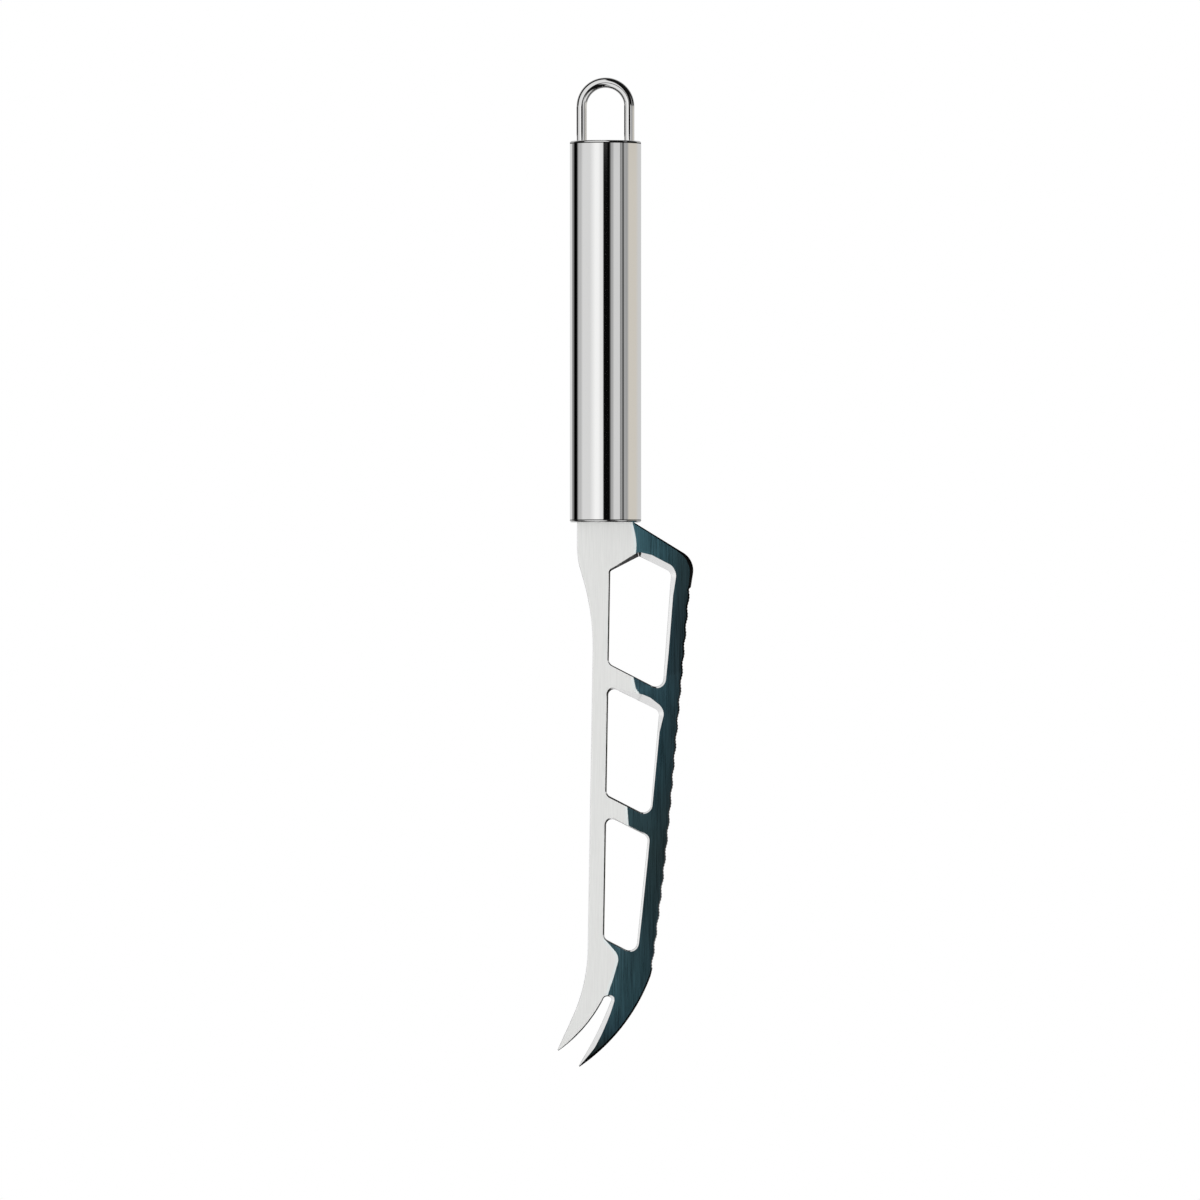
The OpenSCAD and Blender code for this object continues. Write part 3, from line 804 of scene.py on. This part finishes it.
def tang_box(sizes):
    """The tang's closed box, as rows of one loop of points pulled in to a point at each end."""
    half, thick = sizes.tang_width / MM / 2, (sizes.thickness - sizes.tang_step) / MM / 2
    square = np.array([[-half, -thick], [half, -thick], [half, thick], [-half, thick], [-half, -thick]])
    high = sizes.tang_length / MM
    rows = (0, TANG_ROOT), (1, TANG_ROOT), (1, high), (0, high)
    return np.stack([np.column_stack([square * share, np.full(len(square), z)]) for share, z in rows])


# Materials

def new_material(name, metallic, roughness, colour):
    """A Principled material and its node tree."""
    material = bpy.data.materials.new(name)
    material.use_nodes = True
    tree = material.node_tree
    shader = tree.nodes["Principled BSDF"]
    shader.inputs["Metallic"].default_value = metallic
    shader.inputs["Roughness"].default_value = roughness
    shader.inputs["Base Color"].default_value = (*colour, 1)
    return material, tree, shader


def streaks(tree, scale, detail=3.0):
    """Noise over the object's own coordinates, in metres times the scale on each axis."""
    mapping = tree.nodes.new("ShaderNodeMapping")
    mapping.inputs["Scale"].default_value = scale
    noise = tree.nodes.new("ShaderNodeTexNoise")
    noise.inputs["Scale"].default_value = 1.0
    noise.inputs["Detail"].default_value = detail
    tree.links.new(object_place(tree), mapping.inputs["Vector"])
    tree.links.new(mapping.outputs["Vector"], noise.inputs["Vector"])
    return noise.outputs["Fac"]


def spread(tree, value, low, high, to_low, to_high):
    """Maps a value's range onto another one."""
    node = tree.nodes.new("ShaderNodeMapRange")
    for name, number in (("From Min", low), ("From Max", high), ("To Min", to_low), ("To Max", to_high)):
        node.inputs[name].default_value = number
    tree.links.new(value, node.inputs["Value"])
    return node.outputs["Result"]


def ramp(tree, value, stops):
    """A colour ramp over (place, colour) stops. A bare level stands for its grey."""
    node = tree.nodes.new("ShaderNodeValToRGB")
    elements = node.color_ramp.elements
    while len(elements) < len(stops):
        elements.new(1.0)
    for element, (place, _) in zip(elements, stops):
        element.position = place
    for element, (_, colour) in zip(elements, stops):
        element.color = (*(grey(colour) if isinstance(colour, (int, float)) else colour), 1)
    tree.links.new(value, node.inputs["Fac"])
    return node.outputs["Color"]


def feed(tree, socket, value):
    """Links another node's output to a socket, or sets a plain value on it."""
    if isinstance(value, bpy.types.NodeSocket):
        tree.links.new(value, socket)
    else:
        socket.default_value = value


def mix(tree, factor, first, second, blend="MIX"):
    """Two colours blended by a factor."""
    node = tree.nodes.new("ShaderNodeMix")
    node.data_type, node.blend_type = "RGBA", blend
    for name, value in (("Factor", factor), ("A", first), ("B", second)):
        feed(tree, node.inputs[name], value)
    return node.outputs["Result"]


def times(tree, first, second):
    """One colour times another."""
    return mix(tree, 1.0, first, second, "MULTIPLY")


def maths(tree, operation, *values):
    """One step of arithmetic."""
    node = tree.nodes.new("ShaderNodeMath")
    node.operation = operation
    for socket, value in zip(node.inputs, values):
        feed(tree, socket, value)
    return node.outputs["Value"]


def parts(tree, vector):
    """The sockets X, Y and Z of a vector."""
    split = tree.nodes.new("ShaderNodeSeparateXYZ")
    tree.links.new(vector, split.inputs["Vector"])
    return split.outputs


def object_place(tree):
    """The object's own coordinates."""
    return tree.nodes.new("ShaderNodeTexCoord").outputs["Object"]


def line_distance(tree):
    """The blade's own attribute of that name: the distance from the grind's line in millimetres,
    less than 0 on the flat side."""
    read = tree.nodes.new("ShaderNodeAttribute")
    read.attribute_name = "line_distance"
    return read.outputs["Fac"]


def grey(level, tint=(1.0, 1.0, 1.0)):
    """A colour of one level times a tint."""
    return tuple(level * part for part in tint)


def mottled(name, metallic, roughness, colour, scale, low, high=1.0, detail=3.0, drift=0.0):
    """A material whose tone runs with the noise from a low to a high level of its colour, and whose
    roughness drifts by a share of itself either way."""
    material, tree, shader = new_material(name, metallic, roughness, colour)
    noise = streaks(tree, scale, detail)
    tone = ramp(tree, noise, ((0.3, grey(low, colour)), (0.7, grey(high, colour))))
    tree.links.new(tone, shader.inputs["Base Color"])
    if drift:
        rough = spread(tree, noise, 0.3, 0.7, roughness * (1 - drift), roughness * (1 + drift))
        tree.links.new(rough, shader.inputs["Roughness"])
    return material


def polished(name, colour, roughness):
    """Mirror polish whose roughness and tone drift a little along the piece."""
    return mottled(name, 1.0, roughness, colour, scale=(60, 60, 14), detail=2.0, low=0.985, drift=0.2)


def bevel_face(name, colour, roughness, low):
    """A narrow bevel: polish of the given colour with short marks along it; for the edge that colour is
    near black, a painted shade.
    """
    return mottled(name, 1.0, roughness, colour, scale=(1500, 1500, 500), low=low, drift=0.3)


def seam_shade(name):
    """Painted shade on the broken corner at a seam, where the gap between the parts is dark: near black,
    mottled.
    """
    return mottled(name, 0.6, 0.6, grey(0.02), scale=(1500, 1500, 1500), detail=2.0, low=0.6, high=1.5)


def weld_bead(colours):
    """Dull, uneven bead inside the caps."""
    return mottled("weld bead", 1.0, 0.5, colours.weld, scale=(900, 900, 900), low=0.7)


def satin_face(colours):
    """The flat face: fine lengthwise brushing, and a painted highlight with a blue cast in a narrow band
    beside the grind's line.
    """
    material, tree, shader = new_material("blade flat with painted glint", 0.4, 0.42, colours.flat)
    brushing = streaks(tree, (5200, 5200, 160), 4.0)
    tone = ramp(tree, brushing, ((0.3, grey(0.955, colours.flat)), (0.7, grey(1.03, colours.flat))))
    # Painted highlight: the flat face turns lighter and bluer within about half a millimetre of the
    # grind's line
    beside = ramp(tree, spread(tree, line_distance(tree), -1.0, 0.0, 0.0, 1.0), (
        (0.0, 1.0), (0.3, 1.0), (0.5, (1.0, 1.04, 1.05)), (1.0, (0.97, 1.04, 1.06)),
    ))
    tree.links.new(times(tree, tone, beside), shader.inputs["Base Color"])
    tree.links.new(spread(tree, brushing, 0.3, 0.7, 0.38, 0.46), shader.inputs["Roughness"])
    return material


def ground_face(colours):
    """The ground face: lengthwise grinding streaks over a dark teal tone that is a painted reflection of
    dark, bluish surroundings, lighter by the windows and darker and greyer by the edge. The tone also
    changes
    with height: near black and warm at the tip, lightest by the cap."""
    material, tree, shader = new_material("blade ground, painted reflection", 1.0, 0.3, colours.ground)
    fine, broad = streaks(tree, (5200, 5200, 90), 5.0), streaks(tree, (420, 420, 22), 3.0)
    lines = ramp(tree, fine, ((0.25, 0.72), (0.5, 1.0), (0.75, 1.25)))
    patches = ramp(tree, broad, ((0.3, 0.85), (0.7, 1.12)))
    # Painted reflection: lighter by the grind's line, darker and greyer towards the edge
    across = ramp(tree, spread(tree, line_distance(tree), 0.0, 14.0, 0.0, 1.0), (
        (0.0, grey(1.45, colours.ground)), (0.25, grey(1.12, colours.ground)),
        (0.5, grey(0.9, colours.ground)), (0.8, grey(0.78, colours.ground_painted_edge_reflection)),
        (1.0, grey(0.5, colours.ground_painted_edge_reflection)),
    ))
    height = parts(tree, object_place(tree))["Z"]
    # The tone changes with height: near black and warm at the tip, lightest near the cap
    along = ramp(tree, spread(tree, height, -0.14, 0.0, 0.0, 1.0), (
        (0.0, (0.12, 0.07, 0.05)), (0.05, (0.5, 0.38, 0.33)), (0.08, 0.85), (0.14, (1.1, 1.15, 1.1)),
        (0.24, (0.95, 0.9, 0.85)), (0.4, (0.9, 0.75, 0.66)), (0.55, (0.95, 0.98, 0.95)), (0.8, 1.0),
        (0.93, (1.2, 1.3, 1.25)),
    ))
    tone = times(tree, times(tree, across, lines), times(tree, patches, along))
    tree.links.new(tone, shader.inputs["Base Color"])
    tree.links.new(spread(tree, fine, 0.25, 0.75, 0.24, 0.36), shader.inputs["Roughness"])
    return material


# The studio

# The studio's cards and walls: name, where each starts and ends in degrees round from the
# camera's side towards the cutting edge's side, and its level or colour
CARDS = (
    ("rear wall, left", -180, -142, 0.75),
    ("left stand", -135, -127, 0.23),
    ("left black card", -121, -106, 0.0),
    ("left soft box", -97, -87, 0.51),
    ("left wall", -79, -52, 0.71),
    ("left window", -33, -23, 0.96),
    ("white sheet", -15, -9, 0.8),
    ("black card", -6, 13.5, 0.0025),
    ("grey card", 19, 23.5, 0.42),
    ("right sheet", 28, 47, 0.67),
    ("first shade", 49.5, 50.5, 0.2),
    ("gap", 52.5, 53.5, 0.4),
    ("second shade", 57.5, 61, 0.075),
    ("second gap", 64, 65, 0.42),
    ("right wall", 70, 75, 0.36),
    ("warm wall", 82, 115, (0.635, 0.6, 0.54)),
    ("rear wall, right", 135, 180, 0.62),
)
# Above and below the cards: the box's light by the share of a half turn from the camera's side,
# and the shares of the height, from straight down to straight up, where it shows
BOX_LIGHT = (0.0, 0.8), (0.41, 0.76), (0.43, 0.02), (0.685, 0.02), (0.71, 0.5)
BOX_HEIGHTS = (0.0, 1.0), (0.4, 1.0), (0.44, 0.0), (0.52, 0.0), (0.545, 1.0)
# The black sheet in the box, whose left and right borders are given by the share of the height
SHEET_LEVEL = 0.006
SHEET_LEFT = (
    (0.02, 0.12), (0.13, 0.42), (0.3, 0.59), (0.38, 0.55), (0.48, 0.54), (0.55, 0.62), (0.65, 0.69),
    (0.76, 0.69), (0.85, 0.56), (0.95, 0.5),
)
SHEET_RIGHT = (0.46, 0.6), (0.53, 0.92)

# Two small black flags by the loop, too high for the tube to mirror: each from one azimuth to
# another, at this distance, between these heights and with this many points
FLAGS = (-168, -97), (-14, 22)
FLAG_REACH, FLAG_LOW, FLAG_HIGH, FLAG_POINTS = 0.3, 0.1095, 0.1195, 9

# The floor's disc, and the distances from the origin over which its paper brightens to white
FLOOR_RADIUS, FLOOR_LEVEL, FLOOR_POINTS = 0.9, -0.32, 64
PAPER_FROM, PAPER_TO, PAPER_GLOW = 0.33, 0.85, 0.42

# The lamp, and the camera that has the photograph's view
LAMP_SIZE, LAMP_POWER = 0.8, 28.0
LAMP_PLACE, LAMP_TILT, LAMP_TURN = (-0.4, -1.9, -0.2), 92, -12
CAMERA_PLACE, CAMERA_LENS, SENSOR_WIDTH = (-0.00139, -2.8, -0.0202), 332.7, 36.0
CLIP_NEAR, CLIP_FAR = 0.1, 10.0


def loop_flags():
    """Bent black strips on a circle round the handle, which only reflections see."""
    felt = mottled("black felt", 0.0, 1.0, grey(1.0), scale=(300, 300, 300), low=0.003, high=0.006)
    flags = []
    for k, (start, end) in enumerate(FLAGS):
        turn = np.radians(np.linspace(start, end, FLAG_POINTS))
        rim = FLAG_REACH * np.stack([np.sin(turn), -np.cos(turn)], -1)
        rows = [np.column_stack([rim, np.full(FLAG_POINTS, z)]) for z in (FLAG_LOW, FLAG_HIGH)]
        mesh = bpy.data.meshes.new(f"loop_flag_{k}")
        mesh.from_pydata(np.vstack(rows).tolist(), [], grid_faces(2, FLAG_POINTS))
        mesh.materials.append(felt)
        flag = link_object(mesh.name, mesh)
        flag.visible_camera = flag.visible_shadow = flag.visible_diffuse = False
        flags.append(flag)
    return flags


def floor_disc():
    """A flat round floor of pale paper, which brightens outwards so that its rim is lost in the
    white behind it."""
    turn = np.linspace(0, 2 * np.pi, FLOOR_POINTS + 1)[:-1]
    rim = FLOOR_RADIUS * np.stack([np.cos(turn), np.sin(turn)], -1)
    points = np.column_stack([rim, np.full(FLOOR_POINTS, FLOOR_LEVEL)])
    mesh = bpy.data.meshes.new("floor")
    mesh.from_pydata(points.tolist(), [], [list(range(FLOOR_POINTS))])
    paper = mottled("paper", 0.0, 0.8, grey(1.0), scale=(40, 40, 40), low=0.83, high=0.86)
    tree = paper.node_tree
    shader = tree.nodes["Principled BSDF"]
    outwards = tree.nodes.new("ShaderNodeVectorMath")
    outwards.operation = "LENGTH"
    tree.links.new(object_place(tree), outwards.inputs[0])
    glow = spread(tree, outwards.outputs["Value"], PAPER_FROM, PAPER_TO, PAPER_GLOW, 1.0)
    shader.inputs["Emission Color"].default_value = (1, 1, 1, 1)
    tree.links.new(glow, shader.inputs["Emission Strength"])
    mesh.materials.append(paper)
    floor = link_object("floor", mesh)
    floor.visible_glossy = floor.visible_diffuse = False
    return floor


def front_light():
    """A soft round lamp beside the camera, which reflections don't see."""
    lamp = bpy.data.lights.new("front_light", "AREA")
    lamp.shape, lamp.size, lamp.energy = "DISK", LAMP_SIZE, LAMP_POWER
    light = link_object("front_light", lamp)
    light.location = LAMP_PLACE
    light.rotation_euler = (math.radians(LAMP_TILT), 0, math.radians(LAMP_TURN))
    light.visible_glossy = False
    return light


def photo_camera():
    """The camera, level and square to the blade's front face."""
    view = bpy.data.cameras.new("photo_camera")
    view.sensor_width, view.lens = SENSOR_WIDTH, CAMERA_LENS
    view.clip_start, view.clip_end = CLIP_NEAR, CLIP_FAR
    camera = link_object("photo_camera", view)
    camera.location = CAMERA_PLACE
    camera.rotation_euler = (math.radians(90), 0, 0)
    bpy.context.scene.camera = camera
    return camera


def hung_sheet(tree, direction, towards, height):
    """How much of the black sheet shows in a direction: inside both borders and on the camera's
    side, each with a soft step."""
    left = spread(tree, ramp(tree, height, SHEET_LEFT), 0.0, 1.0, -0.5, 0.5)
    past_left = maths(tree, "SUBTRACT", direction["X"], left)
    before_right = maths(tree, "SUBTRACT", ramp(tree, height, SHEET_RIGHT), direction["X"])
    shown = maths(
        tree, "MULTIPLY", spread(tree, past_left, -0.03, 0.05, 0.0, 1.0),
        spread(tree, before_right, -0.1, 0.1, 0.0, 1.0),
    )
    return maths(tree, "MULTIPLY", shown, spread(tree, towards, -0.05, 0.1, 0.0, 1.0))


def studio_world():
    """White to the camera. In reflections, upright cards all round the knife, and above and below
    them a lit box with a black sheet, all read from the direction alone."""
    world = bpy.data.worlds.new("studio")
    world.use_nodes = True
    tree = world.node_tree
    direction = parts(tree, tree.nodes.new("ShaderNodeTexCoord").outputs["Generated"])
    towards = maths(tree, "MULTIPLY", direction["Y"], -1.0)
    turn = maths(tree, "ARCTAN2", direction["X"], towards)
    # The first and the last stop are left out, because a ramp holds its ends
    stops = [(degrees / 360 + 0.5, level) for _, *ends, level in CARDS for degrees in ends][1:-1]
    cards = ramp(tree, maths(tree, "MULTIPLY_ADD", turn, 1 / (2 * math.pi), 0.5), stops)
    height = spread(tree, direction["Z"], -1.0, 1.0, 0.0, 1.0)
    away = maths(tree, "DIVIDE", maths(tree, "ARCCOSINE", towards), math.pi)
    hung = hung_sheet(tree, direction, towards, height)
    box = mix(tree, hung, ramp(tree, away, BOX_LIGHT), (*grey(SHEET_LEVEL), 1))
    mirrored = mix(tree, ramp(tree, height, BOX_HEIGHTS), cards, box)
    ray = tree.nodes.new("ShaderNodeLightPath").outputs["Is Camera Ray"]
    tree.links.new(mix(tree, ray, mirrored, (1, 1, 1, 1)), tree.nodes["Background"].inputs["Color"])
    bpy.context.scene.world = world


# The add-on

class KnifeSizes(bpy.types.PropertyGroup):
    """Sizes of the knife that a user would change."""

    thickness: bpy.props.FloatProperty(
        name="Sheet", description="Thickness of the blade's sheet", default=0.0018, unit="LENGTH")
    heel_thickness: bpy.props.FloatProperty(
        name="Heel", description="Thickness that the grind leaves at the heel",
        default=0.00035, unit="LENGTH")
    wave_pitch: bpy.props.FloatProperty(
        name="Wave pitch", description="Length of one wave of the edge",
        default=0.00474, unit="LENGTH")
    wave_depth: bpy.props.FloatProperty(
        name="Wave depth", description="Depth of one wave of the edge", default=0.00029, unit="LENGTH")
    teeth_per_wave: bpy.props.IntProperty(
        name="Teeth", description="Teeth in each wave", default=6, min=2, max=12)
    tooth_depth: bpy.props.FloatProperty(
        name="Tooth depth", description="Depth of each tooth", default=0.00013, unit="LENGTH")
    bevel_width: bpy.props.FloatProperty(
        name="Bevel", description="Width of the serrated bevel at the heel",
        default=0.00048, unit="LENGTH")
    cap_thickness: bpy.props.FloatProperty(
        name="Cap", description="Thickness of the caps' discs", default=0.0006, unit="LENGTH")
    cap_rim: bpy.props.FloatProperty(
        name="Cap rim", description="Radius of the caps' rims", default=0.00045, unit="LENGTH")
    seam: bpy.props.FloatProperty(
        name="Seam", description="Width of the broken corner at the tube's ends",
        default=0.00009, unit="LENGTH")
    wall: bpy.props.FloatProperty(
        name="Tube wall", description="Thickness of the tube and of the caps' skirts",
        default=0.0005, unit="LENGTH")
    skirt_gap: bpy.props.FloatProperty(
        name="Skirt gap", description="Gap between a cap's skirt and the tube",
        default=0.00005, unit="LENGTH")
    tang_width: bpy.props.FloatProperty(
        name="Tang width", description="Width of the hidden tang", default=0.010, unit="LENGTH")
    tang_length: bpy.props.FloatProperty(
        name="Tang length", description="Height of the tang's end in the handle",
        default=0.022, unit="LENGTH")
    tang_step: bpy.props.FloatProperty(
        name="Tang step", description="How much thinner the tang is", default=0.0003, unit="LENGTH")


class KnifeColours(bpy.types.PropertyGroup):
    """Colours of the knife that a user would change."""

    steel: bpy.props.FloatVectorProperty(
        name="Polish", description="Polished tube, caps and wire",
        default=(0.93, 0.93, 0.925), subtype="COLOR")
    flat: bpy.props.FloatVectorProperty(
        name="Flat", description="The blade's flat face", default=(0.86, 0.865, 0.85), subtype="COLOR")
    # The ground face's dark teal is a painted reflection of dark, bluish surroundings; the colour by the
    # edge is its darker, greyer painted reflection
    ground: bpy.props.FloatVectorProperty(
        name="Ground", description="The ground face", default=(0.09, 0.197, 0.25), subtype="COLOR")
    ground_painted_edge_reflection: bpy.props.FloatVectorProperty(
        name="Ground, edge", description="The ground face by the edge",
        default=(0.085, 0.15, 0.18), subtype="COLOR")
    weld: bpy.props.FloatVectorProperty(
        name="Weld", description="The hidden weld beads", default=(0.5, 0.5, 0.5), subtype="COLOR")


class BuildOperator:
    """What the build operators share."""

    bl_options = {"REGISTER", "UNDO"}

    def kit(self, context):
        return context.scene.knife_sizes, context.scene.knife_colours


class KNIFE_OT_blade(BuildOperator, bpy.types.Operator):
    """Builds the blade: the sheet with its grind, serrations, windows, fork and tang"""

    bl_idname = "knife.blade"
    bl_label = "Blade"

    def execute(self, context):
        sizes, colours = self.kit(context)
        sheet = blade_sheet(sizes)
        kinds = np.concatenate(sheet.kinds).astype(np.int32)
        distances = np.concatenate(sheet.distances).astype(np.float32)
        piece = shell(
            "blade_piece", np.vstack(sheet.points), np.vstack(sheet.faces).tolist(), kinds, distances)
        rims = bevel_face("blade rims", grey(0.95), 0.14, 0.94)
        # Painted shade: the edge's bevel, lip and side are near black steel
        edge = bevel_face("blade edge, painted shade", grey(0.022), 0.3, 0.6)
        dress(piece, satin_face(colours), ground_face(colours), rims, edge)
        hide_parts("blade")
        return {"FINISHED"}


class KNIFE_OT_tube(BuildOperator, bpy.types.Operator):
    """Builds the handle's polished tube, with its corners broken at the caps' seams"""

    bl_idname = "knife.tube"
    bl_label = "Handle tube"

    def execute(self, context):
        sizes, colours = self.kit(context)
        outer, low, high = TUBE_HIGH.x / MM, TUBE_LOW.z / MM, TUBE_HIGH.z / MM
        inner, seam = outer - sizes.wall / MM, sizes.seam / MM
        piece = revolve("handle_tube_piece", (
            (inner, low), (outer - seam, low), (outer, low + seam), (outer, high - seam),
            (outer - seam, high), (inner, high),
        ), (1, 3))
        # The broken corners at both ends take the near black painted shade
        dress(piece, polished("tube polish", colours.steel, 0.035), seam_shade("tube seam, painted shade"))
        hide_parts("handle_tube")
        return {"FINISHED"}


def cap_profile(sizes, radius, skirt):
    """A cap's profile for a face at 0 that looks down: the disc, its rim's arc, the broken corner
    at the seam, and the skirt up inside the tube."""
    rim, face, seam = sizes.cap_rim / MM, sizes.cap_thickness / MM, sizes.seam / MM
    turn = np.linspace(-np.pi / 2, 0, CORNER_POINTS)
    arc = np.column_stack([radius - rim + rim * np.cos(turn), rim + rim * np.sin(turn)])
    outside = radius - sizes.wall / MM - sizes.skirt_gap / MM
    inside = outside - sizes.wall / MM
    corner = [radius, face - seam], [radius - seam, face], [outside, face]
    skirt_wall = [outside, skirt], [inside, skirt], [inside, face], [0, face]
    return np.vstack([[[0, 0]], arc, corner, skirt_wall])


class KNIFE_OT_caps(BuildOperator, bpy.types.Operator):
    """Builds the two caps that close the tube"""

    bl_idname = "knife.caps"
    bl_label = "Caps"

    def execute(self, context):
        sizes, colours = self.kit(context)
        finish, shade = polished("cap polish", colours.steel, 0.05), seam_shade("cap seam, painted shade")
        for node in ("front_cap", "end_cap"):
            low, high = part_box(node)
            profile = cap_profile(sizes, high.x / MM, (high.z - low.z) / MM)
            if node == "front_cap":
                profile[:, 1] = low.z / MM + profile[:, 1]
            else:
                profile[:, 1] = high.z / MM - profile[:, 1]
            # The short side after the rim's arc and the broken corner take the near black painted shade
            piece = revolve(node + "_piece", profile, (CORNER_POINTS, CORNER_POINTS + 1))
            dress(piece, finish, shade)
            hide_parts(node)
        return {"FINISHED"}


class KNIFE_OT_loop(BuildOperator, bpy.types.Operator):
    """Builds the hanging loop's bent wire"""

    bl_idname = "knife.loop"
    bl_label = "Hanging loop"

    def execute(self, context):
        _, colours = self.kit(context)
        radius = LOOP_HIGH.y / MM
        reach = LOOP_HIGH.x / MM - radius
        low, middle = LOOP_LOW.z / MM, LOOP_HIGH.z / MM - radius - reach
        turn = np.linspace(np.pi, 0, ARCH_POINTS)
        arch = np.column_stack([reach * np.cos(turn), 0 * turn, middle + reach * np.sin(turn)])
        rise = np.linspace(low, middle, LEG_POINTS)[:-1]
        left = np.column_stack([0 * rise - reach, 0 * rise, rise])
        right = np.column_stack([0 * rise + reach, 0 * rise, rise])[::-1]
        piece = sweep("hanging_loop_piece", np.vstack([left, arch, right]), radius)
        dress(piece, polished("wire polish", colours.steel, 0.04))
        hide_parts("hanging_loop")
        return {"FINISHED"}


class KNIFE_OT_stage(BuildOperator, bpy.types.Operator):
    """Sets up the floor, the light, the world and the camera, and the hidden welds' material"""

    bl_idname = "knife.stage"
    bl_label = "Stage"

    def execute(self, context):
        scene = context.scene
        bead = weld_bead(scene.knife_colours)
        for node in ("tang_weld", "loop_weld_left", "loop_weld_right"):
            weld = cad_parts[node]
            weld.data.materials.clear()
            dress(weld, bead)
        scene.view_settings.view_transform = "Standard"
        studio_world()
        floor, light, camera = floor_disc(), front_light(), photo_camera()
        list(loop_flags())
        return {"FINISHED"}


class KNIFE_PT_panel(bpy.types.Panel):
    """Sidebar panel with the sizes, the colours and the build steps"""

    bl_label = "Cheese Knife"
    bl_idname = "KNIFE_PT_panel"
    bl_space_type = "VIEW_3D"
    bl_region_type = "UI"
    bl_category = "Cheese Knife"

    def draw(self, context):
        for group in (context.scene.knife_sizes, context.scene.knife_colours):
            for name in group.__annotations__:
                self.layout.prop(group, name)
        for step in STEPS:
            self.layout.operator(step.bl_idname)


STEPS = (KNIFE_OT_blade, KNIFE_OT_tube, KNIFE_OT_caps, KNIFE_OT_loop, KNIFE_OT_stage)
CLASSES = (KnifeSizes, KnifeColours, *STEPS, KNIFE_PT_panel)


def register():
    for cls in CLASSES:
        bpy.utils.register_class(cls)
    bpy.types.Scene.knife_sizes = bpy.props.PointerProperty(type=KnifeSizes)
    bpy.types.Scene.knife_colours = bpy.props.PointerProperty(type=KnifeColours)


def unregister():
    del bpy.types.Scene.knife_sizes
    del bpy.types.Scene.knife_colours
    for cls in reversed(CLASSES):
        bpy.utils.unregister_class(cls)


def main():
    """Builds everything in order."""
    register()
    bpy.ops.knife.blade()
    bpy.ops.knife.tube()
    bpy.ops.knife.caps()
    bpy.ops.knife.loop()
    bpy.ops.knife.stage()


if __name__ == "__main__":
    main()
